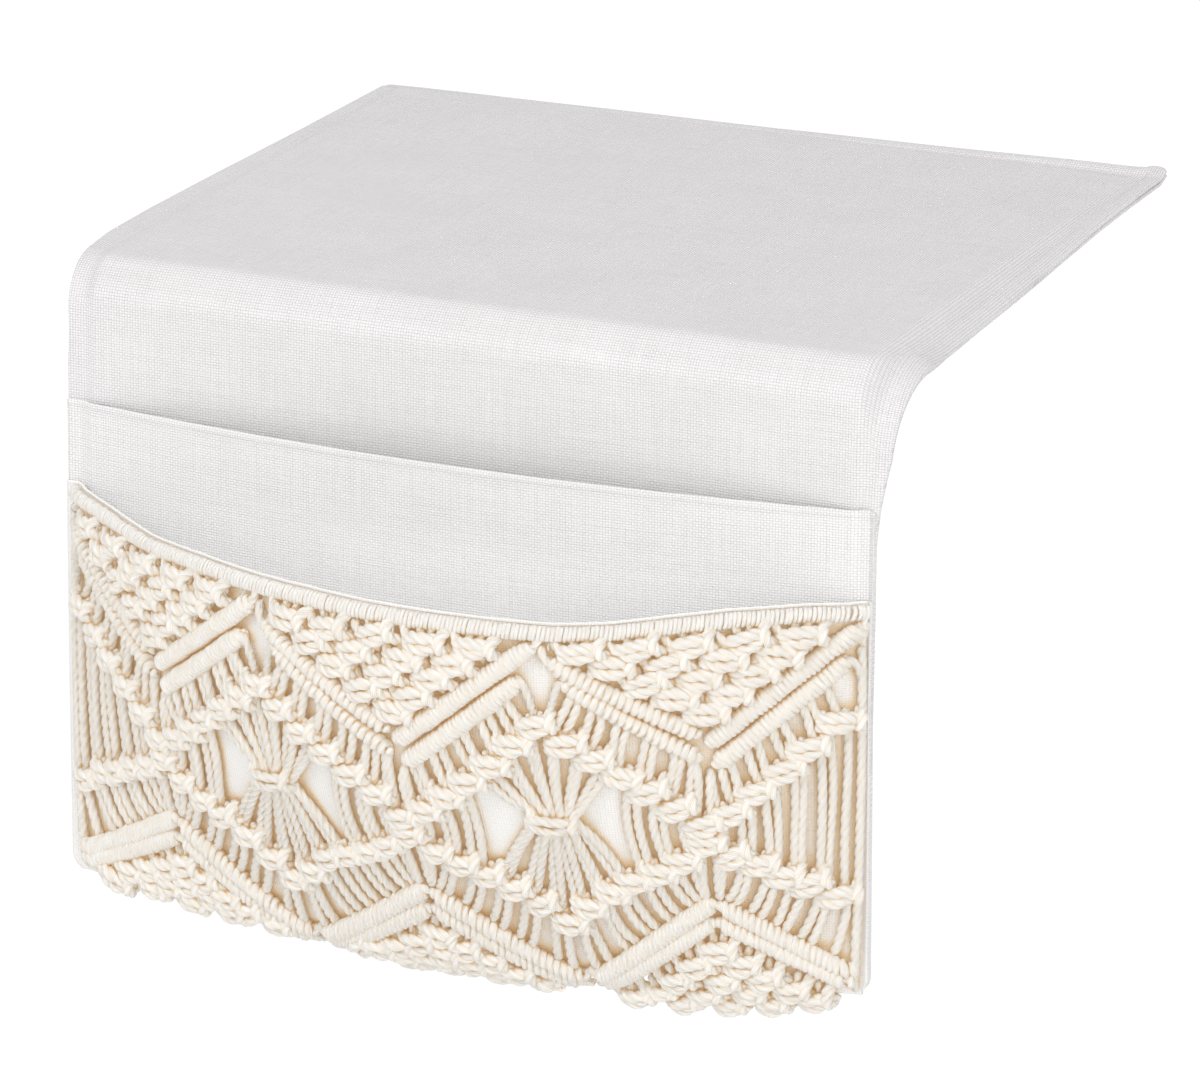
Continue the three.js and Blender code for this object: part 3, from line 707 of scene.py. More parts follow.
WRAP = np.array([
    (-2.20, -0.02, 0.45), (-1.62, 0.34, 1.00), (-0.85, 0.58, 1.50), (0.10, 0.63, 1.76),
    (0.90, 0.46, 1.52), (1.40, 0.03, 0.80), (0.90, -0.38, 1.38), (0.10, -0.60, 1.72),
    (-0.85, -0.64, 1.52), (-1.62, -0.54, 1.00), (-2.20, -0.50, 0.45)])
LOCK = np.array([
    (2.30, 1.80, 0.05), (2.02, 1.15, 0.70), (1.60, 0.58, 1.50), (1.46, -0.03, 1.82),
    (1.56, -0.64, 1.50), (2.00, -1.22, 0.72), (2.30, -1.90, 0.05)])
LEG_UP = np.array([
    (-2.35, 1.85, 0.15), (-2.12, 1.05, 0.70), (-1.60, 0.20, 0.95), (-1.10, -0.20, 0.80)])
LEG_DOWN = np.array([
    (-1.00, -0.10, 0.70), (-1.60, -0.40, 0.95), (-2.12, -1.12, 0.85), (-2.35, -1.95, 0.15)])
HELD = np.array([
    (0.75, 2.05, 0.30), (0.52, 0.95, 0.60), (0.46, 0.0, 0.50), (0.52, -0.95, 0.60),
    (0.75, -2.05, 0.30)])
# How far the knot itself reaches up and across. Its cords' ends lie beyond that.
KNOT_HALF_HEIGHT = 0.70
KNOT_HALF_WIDTH = 1.65
# How knots are turned, and how their sizes, turns, lifts and places vary
TILT = math.radians(7)
SIZE_VARIES = (0.95, 1.05)
TURN_VARIES = math.radians(9)
LIFT_VARIES = (-0.0002, 0.0004)
PLACE_VARIES = (0.07, 0.0022)
# How many cords lie between the middles of neighbouring knots in a row
KNOT_SPACING = 4


def placed(shares, centres, size, turn, lift):
    """Copies of a knot's cord at pattern places, each with its own size, turn and lift."""
    c, s = np.cos(turn)[:, None], np.sin(turn)[:, None]
    across, up, out = (shares[None, :, i] * size[:, None] * CORD for i in range(3))
    x, z = across * c - up * s, across * s + up * c
    return np.stack([centres[:, :1] + x / CORD_PITCH, centres[:, 1:2] + z / NET_HEIGHT,
                     out + lift[:, None]], -1)


def tucked(shape, tuck):
    """A knot's cord with its ends drawn in: tuck says how much of what lies beyond the knot is
    left, above and below."""
    across, up = shape[:, 0], shape[:, 1]
    gone = 1 - np.where(up > 0, tuck[0], tuck[1])
    far_up = np.sign(up) * np.maximum(np.abs(up) - KNOT_HALF_HEIGHT, 0)
    past_side = np.maximum(np.abs(across) - KNOT_HALF_WIDTH, 0) * (np.abs(up) > 0.8)
    far_across = np.sign(across) * past_side
    return np.stack([across - far_across * gone, up - far_up * gone, shape[:, 2]], -1)


def flat_knots(centres, size=1.0, lift=0.0, wide=1.0, full=1.50, tuck=(1, 1)):
    """Batches of cord for flat knots at pattern places. Pulled tight, a knot's outer cords
    spread to more than their free width."""
    centres = np.asarray(centres, float)
    count = len(centres)
    sizes = size * rng.uniform(*SIZE_VARIES, count)
    turn = TILT + rng.normal(0, TURN_VARIES, count)
    lifts = lift + rng.uniform(*LIFT_VARIES, count)
    moved = centres + rng.normal(0, 1, (count, 2)) * PLACE_VARIES
    spread = {"sides": 18, "lay": 0.95 * LAY_LENGTH}
    cords = ((WRAP, full, spread), (LOCK, full * 0.96, spread), (LEG_UP, 1.15, {}),
             (LEG_DOWN, 1.15, {}), (HELD, 1.05, {}), (HELD * [-1, 1, 1], 1.05, {}))
    return [cords_on_net(placed(tucked(shape * [wide, 1, 1], tuck), moved, sizes, turn, lifts),
                         CORD / 2 * size * share, **look) for shape, share, look in cords]


def field_centres(foot, counts, top, step, shear=0.0, hang=0.0, tilt=0.0):
    """Places of alternating knots: level rows, each with its own number of knots. The rows hang
    lower in their middle, the more the further down, and can tilt."""
    places = []
    for row, count in enumerate(counts):
        for i in range(count):
            aside = (i - (count - 1) / 2) * KNOT_SPACING
            low = step * row + (hang * (1 - (aside / 9) ** 2) - tilt * aside / 8) * (row / 4) ** 2
            places.append((foot + aside + shear * (row - 2), top - low))
    return places


def chain_centres(line, crossing):
    """Knots that step two cords at a time along a chain. One is shared at every tip, and at
    the foot the two chains cross in a knot of each."""
    places = []
    for foot in FEET:
        places.append((foot, crossing))
        for step in (1, 2, 3, 4, 5):
            for side in (-1, 1):
                count = foot + side * 2 * step
                places.append((count, float(line_at(line, count))))
    for tip in TIPS:
        places.append((tip, float(line_at(line, tip))))
    return places


def bar_winding(foot, side, line, start, end):
    """The cord wound round a bar. On a bar that rises to the right its turns lie close and
    square to the bar. On one that falls they stand upright, which makes it look knobbly."""
    heights = line[side > 0]
    rise = (heights[3] - heights[0]) * side
    turns_per_cord, width, vary = RISING if rise > 0 else FALLING
    turns = int(abs(end - start) * turns_per_cord)
    t = np.linspace(0, 1, turns * TURN_POINTS + 1)
    away = start + (end - start) * t
    theta = 2 * math.pi * turns * t
    along = unit(np.array([CORD_PITCH, rise / HALF_REPEAT * NET_HEIGHT]))
    square = np.array([-along[1], along[0]])
    across = square if rise > 0 else 0.2 * square + 0.8 * np.array([0.0, 1.0])
    uneven = np.interp(t * turns, np.arange(turns + 1), rng.normal(0, 1, turns + 1))
    whole = smooth(0, END_TURNS, turns * t) * smooth(0, END_TURNS, turns * (1 - t))
    swing = CORD * width * (1 + vary * uneven) * (0.45 + 0.55 * whole) * np.cos(theta)
    lift = CORD * 0.56 * np.sin(theta) * (1 + 0.05 * uneven) * (0.5 + 0.5 * whole)
    halves = np.arange(2 * turns + 1)
    shift = 0.0001 * np.interp(t * turns * 2, halves, rng.normal(0, 1, 2 * turns + 1))
    up = line_at(line, foot + side * np.maximum(away, 0.01))
    return np.stack([foot + side * away + (swing * across[0] + shift) / CORD_PITCH,
                     up + swing * across[1] / NET_HEIGHT,
                     CORD * (0.60 + 0.37 * whole) + lift], -1)


def bars(lines, spans, tails, core_radius):
    """Two bars side by side, down to the foot of every V on both its sides: their windings, and
    then the cords that they are wound on."""
    batches, cores = [], []
    for foot in FEET:
        for line, span, tail in zip(lines, spans, tails):
            for side in (-1, 1):
                start, end = span[side > 0]
                path = bar_winding(foot, side, line, start, end)[None]
                path[..., 0] = np.clip(path[..., 0], 0.3, CORD_COUNT - 0.3)
                points, outward = on_net(path)
                COVER.append(path[0, :, :2])
                batches.append(cord_batch(points, outward, CORD * WINDING_RADIUS, sides=15,
                                          lay=LAY_LENGTH * 1.1))
                count = foot + side * np.linspace(start + 0.3, end - 0.1, 9)
                core = np.stack([count, line_at(line, count), np.full(9, 0.97 * CORD)], -1)
                core[0, 2] = 0.6 * CORD
                past_tip = core[-1] + np.array(tail) * [side, 1, CORD]
                cores.append(np.concatenate([core, past_tip]))
    cores = np.array(cores)
    cores[..., 0] = np.clip(cores[..., 0], 0.4, CORD_COUNT - 0.4)
    return batches + [cords_on_net(cores, CORD * core_radius)]


def paired(index):
    """Cords leave a knot two and two: how far one lies towards the other, and how far out."""
    return PAIR_CLOSER * (-1) ** index, PAIR_FRONT if index % 4 in (0, 3) else PAIR_BACK


def free_cord(start, end, bow=0.0, out=0.56, bend=1.0, points=7, pair=None):
    """Control points of a free stretch between two pattern places. It bows sideways, or with
    bend above one it leaves its start straight and turns aside later."""
    t = np.linspace(0, 1, points)
    arch = np.sin(math.pi * t)
    closer, front = (0, 0) if pair is None else paired(pair)
    count = start[0] + (end[0] - start[0]) * t ** bend + bow * arch + closer
    count = count + rng.normal(0, 0.09) * arch + rng.normal(0, 0.07) * np.sin(2 * math.pi * t)
    up = start[1] + (end[1] - start[1]) * t
    lift = CORD * (out + 0.14 + front * arch - 0.42 * (2 * t - 1) ** 6 + rng.normal(0, 0.05))
    return np.stack([count, up, lift], -1)


def fan_cords(bar, chain, fan):
    """Every cord between a bar and the chain next to it. At the bar it lies nearer the foot."""
    lean, tip_lean, reach, past_chain, past_bar = fan
    paths = []
    for i in range(1, CORD_COUNT - 1):
        count = i + 0.5
        foot, tipward = foot_of(count), toward_tip(count)
        away = np.abs(count - foot)
        aside = tipward * (lean * smooth(0, 3, away) + tip_lean * smooth(9, 11.5, away))
        place = foot + np.clip(count - aside - foot, -reach, reach)
        at_chain = (count, line_at(chain, count) + past_chain)
        at_bar = (place, line_at(bar, place) + past_bar)
        if fan is LOWER_FAN:
            paths.append(free_cord(at_chain, at_bar, bend=2.3, pair=i))
        else:
            paths.append(free_cord(at_bar, at_chain, bow=-0.12 * tipward, pair=i))
    return np.array(paths)


def middle_cords():
    """Cords between the two chains: straight in the half diamonds at the ends, drawn together
    at the middle of each whole diamond, and bowed beside its corners."""
    upright, gathered = [], []
    for i in range(1, CORD_COUNT - 1):
        count = i + 0.5
        top = line_at(UPPER_CHAIN, count) + CHAIN_INSIDE
        low = line_at(LOWER_CHAIN, count) - CHAIN_INSIDE
        if top - low < SHORTEST_FREE:
            continue
        near = [tip for tip in TIPS if abs(count - tip) < 6]
        if not near:
            whole = HALF_REPEAT < count < CORD_COUNT - HALF_REPEAT
            bow = toward_tip(count) * (0.6 if whole else 0.12)
            bow = bow * (0.4 + 0.6 * min(1, (top - low) / 0.2))
            upright.append(free_cord((count, top), (count, low), bow, points=8, pair=i))
            continue
        away = count - near[0]
        count = count + 1.5 * paired(i)[0]
        hold = near[0] + 0.5 + away * 0.27 + rng.normal(0, 0.06)
        layer = 0.50 + 0.65 * (i % 2)
        t = np.array([0, 0.25, 0.5, 0.75, 0.92, 1.05])
        reached = np.clip(t, 0, 1)
        for edge, sign in ((top, 1), (low, -1)):
            sway = rng.normal(0, 0.12) * np.sin(math.pi * reached)
            across = count + (hold - count) * t + sway
            sag = sign * 0.012 * abs(away) / 6 * np.sin(math.pi * t)
            up = edge + (GATHER_SHARE + sign * 0.006 - edge) * t - sag
            out = CORD * (0.58 + (layer - 0.58) * reached ** 2)
            gathered.append(np.stack([across, up, out], -1))
    return np.array(upright), np.array(gathered)


def side_cords():
    """At each of the pocket's side seams one cord runs straight down past all the bars."""
    return np.array([free_cord((count, 0.93), (count, 0.04), 0.0, 0.75, points=16)
                     for count in (0.55, CORD_COUNT - 0.55)])


def heading():
    """Hitches side by side over the heading cord: each passes from under the rim, over the
    cord and down in front of it."""
    wraps = CORD_COUNT * 3
    middle = 1 - (HEADING_TOP + HEADING_HEIGHT / 2 - 0.0014) / FRONT_HEIGHT
    half = HEADING_HEIGHT / 2 / FRONT_HEIGHT
    theta = np.linspace(math.radians(-40), math.radians(220), 13)
    lean = 0.0004 * np.cos(theta) / (2 * POCKET_HALF_WIDTH)
    across = (np.arange(wraps)[:, None] + 0.5) / wraps + lean + rng.normal(0, 0.00030, (wraps, 1))
    share = middle + half * 0.76 * np.cos(theta) * (1 + rng.normal(0, 0.05, (wraps, 1)))
    out = CORD * 0.62 + CORD * 0.54 * np.sin(theta) + rng.normal(0, 0.00013, (wraps, 1))
    points, outward = facing(across, share, out)
    return cord_batch(points, outward, CORD * HITCH_RADIUS, 0.6, 0.1, lay=LAY_LENGTH * 1.2)


def heading_stitches():
    """Small upright stitches that tack the heading to the lining, one over every other cord."""
    at = (np.arange(1, CORD_COUNT, 2) + rng.normal(0, 0.12, CORD_COUNT // 2))[:, None]
    up = 0.996 + rng.normal(0, 0.002, (len(at), 1)) + np.array([0.016, 0.006, -0.006, -0.016])
    out = CORD * np.array([0.95, 1.42, 1.36, 0.65])
    places = np.stack(np.broadcast_arrays(at, up, out), -1)
    return cords_on_net(places, STITCH_RADIUS, 3, sides=6, lay=0.002)


def build_knotwork(material, heading_material, thread):
    """All the knotwork, split by what each part is."""
    field = [place for foot in FEET for place in field_centres(
        foot, (5, 4, 3, 2, 1), FIELD_TOP_SHARE, FIELD_ROW_SHARE, 0.3)]
    skirts = np.array([
        field_centres(foot, (1, 2, 3, 4, 5), SKIRT_TOP_SHARE, step, 0, hang, tilt)
        for foot, step, hang, tilt in SKIRTS])
    inner_rows, last_rows = skirts[:, :10].reshape(-1, 2), skirts[:, 10:].reshape(-1, 2)
    upright, gathered = middle_cords()
    upper_fan = fan_cords(UPPER_BARS[1], UPPER_CHAIN, UPPER_FAN)
    lower_fan = fan_cords(LOWER_BARS[0], LOWER_CHAIN, LOWER_FAN)
    gathers = [(tip + 0.4, GATHER_SHARE) for tip in TIPS]
    radius = CORD * FREE_RADIUS
    pieces = [cord_piece("heading_hitches", [heading()], heading_material)]
    parts = (
        ("upper_knot_field", flat_knots(field, **FIELD_LOOK)),
        ("upper_bars", bars(UPPER_BARS, UPPER_SPANS, UPPER_TAILS, UPPER_CORE_RADIUS)),
        ("upper_fan_cords", [cords_on_net(upper_fan, radius, 5)]),
        ("upper_knot_chain", flat_knots(chain_centres(UPPER_CHAIN, UPPER_CROSSING), **CHAIN_LOOK)),
        ("upright_cords", [cords_on_net(upright, radius, 8),
                           cords_on_net(side_cords(), radius, 8)]),
        ("gathered_cords", [cords_on_net(gathered, radius, 9)]),
        ("gather_knots", flat_knots(gathers, 1.1, 0.0022, 1.35, 1.1, (0.5, 0.5))),
        ("lower_knot_chain", flat_knots(chain_centres(LOWER_CHAIN, LOWER_CROSSING), **CHAIN_LOOK)),
        ("lower_fan_cords", [cords_on_net(lower_fan, radius, 6)]),
        ("lower_bars", bars(LOWER_BARS, LOWER_SPANS, LOWER_TAILS, LOWER_CORE_RADIUS)),
        ("lower_knot_field", flat_knots(inner_rows, **FIELD_LOOK)
         + flat_knots(last_rows, tuck=(1, 0.2), **FIELD_LOOK)),
    )
    pieces += [cord_piece(name, batches, material) for name, batches in parts]
    return pieces + [cord_piece("heading_stitches", [heading_stitches()], thread)]


# The lining, shaded by how closely the cords cover it: the cover at which its shade starts and
# is full, and its shade above the net

COVER_SHADES = (0.05, 0.19)
SHADE_ABOVE_NET = -0.3


def cover_at(column, share):
    """How closely cords lie over a place of the lining: their drawn paths are counted into
    small cells, and the counts are spread over the neighbouring cells."""
    cells, rows = 4 * CORD_COUNT, 132
    paths = np.concatenate(COVER)
    reach = ((0, CORD_COUNT), (0, 1))
    counts, _, _ = np.histogram2d(paths[:, 0], paths[:, 1], bins=(cells, rows), range=reach)
    cover = np.minimum(counts, 1)
    for axis in (0, 1) * 4:
        cover = (np.roll(cover, 1, axis) + cover + np.roll(cover, -1, axis)) / 3
    across = np.clip(column / (2 * POCKET_HALF_WIDTH) + 0.5, 0, 1)
    i = np.clip((across * cells).astype(int), 0, cells - 1)
    j = np.clip((share / NET_TOP * rows).astype(int), 0, rows - 1)
    return cover[i, j] * (np.abs(column) < POCKET_HALF_WIDTH) * (share < NET_TOP)


def front_lining():
    """The front pocket's lining, with a thin turned rim. Shade grows with the cords' cover."""
    column, share = pocket_grid(FRONT_HEIGHT, 92, (0.25, 0.97), (30, 86, 6))
    turned = 0.8 * smooth(1 - 0.006, 1 - 0.002, share) * (1 - 0.3 * smooth(1 - 0.001, 1, share))
    shade = smooth(*COVER_SHADES, cover_at(column, share))
    shade = np.where(share < NET_TOP, shade, SHADE_ABOVE_NET)
    return pocket_piece("front_lining_cloth", FRONT, column, share, CLOTH * (1 + turned),
                        {"shade": shade})


# Materials

# Yarns round each cord
YARNS = 15

# Painted light: emission strengths, as shares of white. The first is given to the cords and
# the lining and stands in for light soaking into the gaps; the second lights the rear pocket's
# shaded inside.
PAINTED_GLOW = 0.20
POCKET_PAINTED_GLOW = 0.10

# How wide the canvases' and the lining's threads are
CANVAS_THREAD = 0.00118
LINING_THREAD = 0.00112

WHITE = (1, 1, 1, 1)
SHEEN_ROUGHNESS = 0.6
SPECULAR = 0.2


def toned(colour, *shares):
    """A colour with its red, green and blue each brought down to a share."""
    return (*(part * share for part, share in zip(colour, shares)), 1)


class Shader:
    """A material's node tree, with short calls that add a node and return its output."""

    def __init__(self, name):
        self.material = bpy.data.materials.new(name)
        self.material.use_nodes = True
        self.nodes = self.material.node_tree.nodes
        self.links = self.material.node_tree.links
        self.surface = self.nodes["Principled BSDF"]

    def put(self, node, values):
        """Sets a node's inputs, by name or place, to numbers or outputs. Returns its outputs."""
        for key, value in values.items():
            if isinstance(value, bpy.types.NodeSocket):
                self.links.new(value, node.inputs[key])
            else:
                node.inputs[key].default_value = value
        return node.outputs

    def maths(self, operation, *values, clamp=False):
        node = self.nodes.new("ShaderNodeMath")
        node.operation, node.use_clamp = operation, clamp
        return self.put(node, dict(enumerate(values)))[0]

    def times(self, a, b, plus=None):
        if plus is None:
            return self.maths("MULTIPLY", a, b)
        return self.maths("MULTIPLY_ADD", a, b, plus)

    def split(self, vector):
        return self.put(self.nodes.new("ShaderNodeSeparateXYZ"), {0: vector})

    def join(self, x, y):
        return self.put(self.nodes.new("ShaderNodeCombineXYZ"), {0: x, 1: y})[0]

    def attribute(self, name):
        node = self.nodes.new("ShaderNodeAttribute")
        node.attribute_name = name
        return node.outputs["Fac"]

    def uv(self):
        node = self.nodes.new("ShaderNodeUVMap")
        node.uv_map = "lay"
        return node.outputs[0]

    def noise(self, vector, scale, detail=3.0, roughness=0.55):
        return self.put(self.nodes.new("ShaderNodeTexNoise"), {
            "Vector": vector, "Scale": scale, "Detail": detail, "Roughness": roughness})["Fac"]

    def closeness(self, distance):
        """One in the open, and less the more of what lies around is nearer than distance."""
        node = self.nodes.new("ShaderNodeAmbientOcclusion")
        node.samples = 6
        return self.put(node, {"Distance": distance})["AO"]

    def mix(self, share, a, b):
        node = self.nodes.new("ShaderNodeMix")
        node.data_type = "RGBA"
        return self.put(node, {0: share, 6: a, 7: b})[2]

    def ramp(self, value, low, high):
        node = self.nodes.new("ShaderNodeMapRange")
        node.interpolation_type = "SMOOTHSTEP"
        return self.put(node, {"Value": value, "From Min": low, "From Max": high})[0]

    def finish(self, colour, height, depth, roughness, sheen=0.0):
        bump = self.put(self.nodes.new("ShaderNodeBump"), {"Distance": depth, "Height": height})
        self.put(self.surface, {
            "Normal": bump[0], "Base Color": colour, "Roughness": roughness,
            "Sheen Weight": sheen, "Sheen Roughness": SHEEN_ROUGHNESS,
            "Specular IOR Level": SPECULAR})
        return self.material


def canvas_material(name, light, dark, thread, shade=None, pocket_painted_glow=None):
    """Plain weave. Each crossing is a small bump, square cells apart, and every other one
    stands higher. The threads wander a little and vary in thickness. Shade is a colour of
    painted shade, which the cloth takes where the cords lie close over it and hem it in, along
    with a faint painted glow all over that grows there. The last colour is that of a painted
    glow, which stands in for light coming through the cloth."""
    s = Shader(name)
    flat = s.uv()
    across, along, _ = s.split(flat)
    wander = s.times(s.maths("SUBTRACT", s.noise(flat, 90.0, 2.0), 0.5), 0.9)
    warp = s.maths("ADD", s.times(across, math.pi / thread), wander)
    weft = s.maths("ADD", s.times(along, math.pi / (thread * 0.92)), wander)
    cell = s.times(s.maths("SINE", warp), s.maths("SINE", weft))
    bump = s.maths("POWER", s.maths("ABSOLUTE", cell), 0.55)
    over = s.ramp(cell, -0.35, 0.35)
    slub = s.maths("ADD", *(
        s.noise(s.join(s.times(across, a), s.times(along, b)), 1.0, 2.0)
        for a, b in ((1 / thread, 30.0), (30.0, 1 / thread))))
    height = s.times(over, 0.35, s.times(bump, 0.75))
    height = s.times(slub, 0.35, height)
    height = s.times(s.noise(flat, 5200.0, 2.0), 0.14, height)
    cloudy = s.ramp(s.noise(flat, 26.0), 0.3, 0.75)
    colour = s.mix(s.ramp(height, 0.35, 1.25), dark, light)
    colour = s.mix(s.times(cloudy, 0.10), colour, dark)
    if shade is not None:
        # Painted shade: the lining takes the shade colour where cords lie close round it and cover
        # it
        close = s.ramp(s.closeness(0.006), 0.85, 0.30)
        covered = s.maths("MULTIPLY_ADD", s.attribute("shade"), 0.70, 0.25, clamp=True)
        amount = s.times(close, covered)
        colour = s.mix(amount, colour, shade)
        # Painted light: a faint glow all over, stronger and tan where the shade is painted
        s.put(s.surface, {"Emission Color": s.mix(amount, WHITE, shade),
                          "Emission Strength": s.times(amount, PAINTED_GLOW * 0.25, 0.05)})
    # Painted light: a glow, as strong as the mesh's attribute for it says
    if pocket_painted_glow is not None:
        s.put(s.surface, {"Emission Color": pocket_painted_glow,
                          "Emission Strength": s.times(s.attribute("pocket_painted_glow"), POCKET_PAINTED_GLOW)})
    return s.finish(colour, height, thread * 0.28, 0.92, 0.15)


def cord_material(name, light, painted_shade_tan, glow):
    """Soft cotton plies. Fine fibres run along each ply, and each cord's tone drifts a little.
    The grooves between plies and yarns, the side that faces the lining and places hemmed in by
    other cords take painted shade in a warm tan. Glow is painted light: an emission where the
    cord lies open, standing in for light soaking through the cotton, which moves to the shared
    painted glow and a tan tint where the cord is hemmed in."""
    s = Shader(name)
    turn, along, _ = s.split(s.uv())
    slanted = s.times(along, 2.4, s.times(turn, 5.0))
    yarn = s.noise(s.join(s.times(turn, 17.0), slanted), 1.0, 3.0, 0.62)
    fuzz = s.noise(s.join(s.times(turn, 120.0), s.times(along, 34.0)), 1.0, 2.0)
    drift = s.noise(s.join(s.times(turn, 2.0), s.times(along, 0.6)), 1.0, 2.0)
    fibres = s.ramp(yarn, 0.36, 0.52)
    lines = s.maths("SINE", s.times(turn, 2 * math.pi * YARNS, s.times(yarn, 5.0)))
    lines = s.ramp(lines, -1.0, -0.2)
    close = s.ramp(s.closeness(0.005), 0.60, 0.10)
    mellow = toned(light, 0.97, 0.95, 0.89)
    colour = s.mix(s.times(s.ramp(drift, 0.3, 0.7), 0.15), light, mellow)
    # Painted shade in warm tan: in the grooves between yarns, on the hidden sides and where other
    # cords hem the cord in; the gaps between fibres take some of the tan too
    for depth, share in ((s.maths("SUBTRACT", 1.0, fibres), 0.30),
                         (s.maths("SUBTRACT", 1.0, lines), 0.17),
                         (s.maths("POWER", s.attribute("depth"), 1.4), 0.80), (close, 0.9)):
        colour = s.mix(s.times(depth, share), colour, painted_shade_tan)
    # Painted light: an emission, which takes the tan tint and the shared painted glow where cords
    # lie close
    s.put(s.surface, {
        "Emission Color": s.mix(s.ramp(close, 0.1, 0.7), light, toned(painted_shade_tan, 1, 0.92, 0.85)),
        "Emission Strength": s.times(s.maths("POWER", close, 1.5), PAINTED_GLOW - glow, glow)})
    height = s.times(fuzz, 0.25, s.times(lines, 0.5, yarn))
    return s.finish(colour, height, 0.0006, 0.9, 0.2)


def plain_material(name, colour, roughness):
    """A matte board or thread with a fine grain."""
    s = Shader(name)
    grain = s.noise(s.nodes.new("ShaderNodeTexCoord").outputs["Object"], 900.0)
    shown = s.mix(grain, toned(colour, 0.86, 0.86, 0.84), colour)
    return s.finish(shown, grain, 0.0002, roughness)


CANVAS = canvas_material("canvas", (0.905, 0.89, 0.892, 1), (0.62, 0.60, 0.60, 1), CANVAS_THREAD)
# A lighter copy of the canvas for the rear pocket: painted light for its shaded inside, with a
# painted glow lower down
BRIGHTENED_POCKET_CANVAS = canvas_material(
    "pocket_canvas", (0.955, 0.948, 0.948, 1), (0.65, 0.632, 0.63, 1), CANVAS_THREAD,
    pocket_painted_glow=(0.97, 0.985, 1, 1))
# The lining's shade colour is painted shade, a tan under the cords
LINING = canvas_material(
    "lining", (0.98, 0.975, 0.965, 1), (0.84, 0.82, 0.78, 1), LINING_THREAD,
    shade=(0.80, 0.62, 0.38, 1))
# The cords' second colour is painted shade; the last number is their painted glow in the open
COTTON = cord_material(
    "cotton_cord", (0.99, 0.975, 0.94, 1), (0.84, 0.64, 0.38, 1), PAINTED_GLOW * 0.6)
# The heading's cord is a lighter copy of the cotton with more painted glow: painted light that
# brightens the band
BRIGHTENED_HEADING_COTTON = cord_material(
    "heading_cotton", (0.99, 0.98, 0.955, 1), (0.84, 0.66, 0.42, 1), PAINTED_GLOW * 1.1)
THREAD = plain_material("thread", (0.90, 0.89, 0.86, 1), 0.8)
BOARD = plain_material("board", (0.72, 0.70, 0.66, 1), 0.7)

# The pieces

face_cloth = canvas_piece("face_cloth", 1)
backing_cloth = canvas_piece("backing_cloth", -1)
for cloth, ends in ((face_cloth, ("flap_face_canvas", "panel_face_canvas")),
                    (backing_cloth, ("flap_backing_canvas", "panel_backing_canvas"))):
    cloth.data.materials.append(CANVAS)
    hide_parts(*ends)
    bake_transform(cloth)

rear_cloth = rear_pocket()
rear_cloth.data.materials.append(BRIGHTENED_POCKET_CANVAS)
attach(rear_cloth, "panel")
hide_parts("rear_pocket_canvas")

knotwork = build_knotwork(COTTON, BRIGHTENED_HEADING_COTTON, THREAD)
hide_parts("heading_cord")
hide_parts("knotted_net")

lining_cloth = front_lining()
lining_cloth.data.materials.append(LINING)
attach(lining_cloth, "panel")
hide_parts("front_pocket_lining")

for board in ("flap_board", "panel_board"):
    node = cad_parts[board]
    node.data.materials.clear()
    node.data.materials.append(BOARD)

# Camera, floor and light

CAMERA_AZIMUTH = math.radians(23.6488)
CAMERA_ELEVATION = math.radians(18.2419)
CAMERA_ROLL = math.radians(0.3766)
CAMERA_SIDE = 0.0518985
CAMERA_UP = 0.1561025
CAMERA_DISTANCE = 3.5863064
CAMERA_LENS = 270
SENSOR_WIDTH = 36
CLIP_END = 50
PANEL_FRONT = PATH_BACK - BOARD_HALF_THICKNESS - LAY_GAP - CLOTH
FLOOR_DROP = 0.55
FLOOR_REACH = 30.0
FLOOR_GLOW = 1.06
FLOOR_GLOW_SHARE = 0.93
SKY_STRENGTH = 0.74
LIGHT_TARGET = (0, -0.1, -0.1)
# Area lights: place, size and power
LIGHTS = {"key": ((-0.55, -2.15, 1.65), 1.3, 20.5), "fill": ((1.9, -2.1, 0.6), 1.6, 19)}


def make_camera():
    """The photograph's camera, aimed from the middle of the panel's bottom edge."""
    a, e, r = CAMERA_AZIMUTH, CAMERA_ELEVATION, CAMERA_ROLL
    back = np.array([math.sin(a) * math.cos(e), -math.cos(a) * math.cos(e), math.sin(e)])
    right = np.array([math.cos(a), math.sin(a), 0])
    up = np.cross(back, right)
    place = (np.array([0, PANEL_FRONT, PATH_DOWN]) + back * CAMERA_DISTANCE
             + right * CAMERA_SIDE + up * CAMERA_UP)
    matrix = np.eye(4)
    matrix[:3] = np.stack([right * math.cos(r) + up * math.sin(r),
                           up * math.cos(r) - right * math.sin(r), back, place], 1)
    data = bpy.data.cameras.new("camera")
    data.sensor_fit, data.sensor_width, data.lens = "HORIZONTAL", SENSOR_WIDTH, CAMERA_LENS
    data.clip_end = CLIP_END
    camera = new_object("camera", data)
    camera.matrix_world = Matrix(matrix.tolist())
    bpy.context.scene.camera = camera


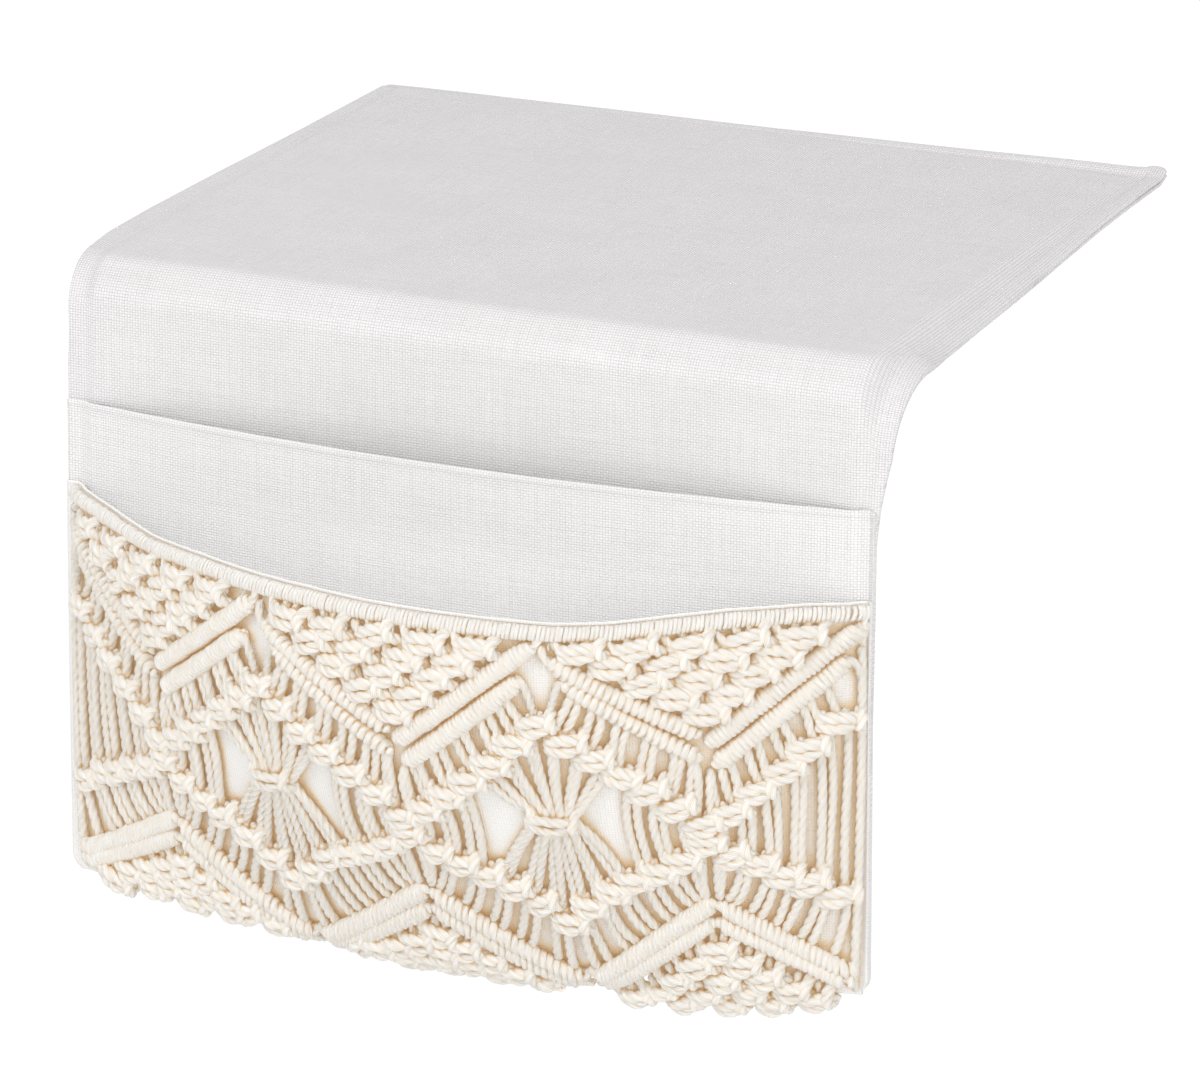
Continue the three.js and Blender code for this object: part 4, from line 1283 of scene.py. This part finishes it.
def area_light(name, place, size, power):
    """A square light that faces the caddy."""
    data = bpy.data.lights.new(name, "AREA")
    data.shape, data.size, data.energy = "SQUARE", size, power
    light = new_object(name, data)
    light.location = place
    aim = Vector(LIGHT_TARGET) - Vector(place)
    light.rotation_euler = aim.to_track_quat("-Z", "Y").to_euler()


def make_stage():
    """A pale floor well below the hanging caddy. The camera sees it almost white, with a trace
    of the shadow on it."""
    corners = [(x * FLOOR_REACH, y * FLOOR_REACH, -FLOOR_DROP)
               for x, y in ((-1, -1), (1, -1), (1, 1), (-1, 1))]
    floor = new_mesh("floor", np.array(corners), [np.array([[0, 1, 2, 3]])])
    s = Shader("floor")
    s.put(s.surface, {"Base Color": (0.9, 0.9, 0.9, 1), "Roughness": 1.0})
    glow = s.put(s.nodes.new("ShaderNodeEmission"), {1: FLOOR_GLOW})[0]
    path = s.nodes.new("ShaderNodeLightPath").outputs
    seen = s.maths("MAXIMUM", path["Is Glossy Ray"], path["Is Transmission Ray"])
    seen = s.maths("MAXIMUM", path["Is Camera Ray"], seen)
    blend = s.put(s.nodes.new("ShaderNodeMixShader"), {
        0: s.times(seen, FLOOR_GLOW_SHARE), 1: s.surface.outputs[0], 2: glow})
    s.links.new(blend[0], s.nodes["Material Output"].inputs[0])
    floor.data.materials.append(s.material)


def make_world():
    """An even sky, which the camera sees as white."""
    world = bpy.data.worlds.new("studio")
    bpy.context.scene.world = world
    world.use_nodes = True
    tree = world.node_tree
    soft = tree.nodes["Background"]
    white = tree.nodes.new("ShaderNodeBackground")
    soft.inputs[0].default_value = white.inputs[0].default_value = WHITE
    soft.inputs[1].default_value = SKY_STRENGTH
    blend = tree.nodes.new("ShaderNodeMixShader")
    path = tree.nodes.new("ShaderNodeLightPath")
    tree.links.new(path.outputs["Is Camera Ray"], blend.inputs[0])
    tree.links.new(soft.outputs[0], blend.inputs[1])
    tree.links.new(white.outputs[0], blend.inputs[2])
    tree.links.new(blend.outputs[0], tree.nodes["World Output"].inputs[0])


make_camera()
make_world()
make_stage()
for light_name, light_look in LIGHTS.items():
    area_light(light_name, *light_look)

bpy.context.scene.view_settings.view_transform = "Standard"
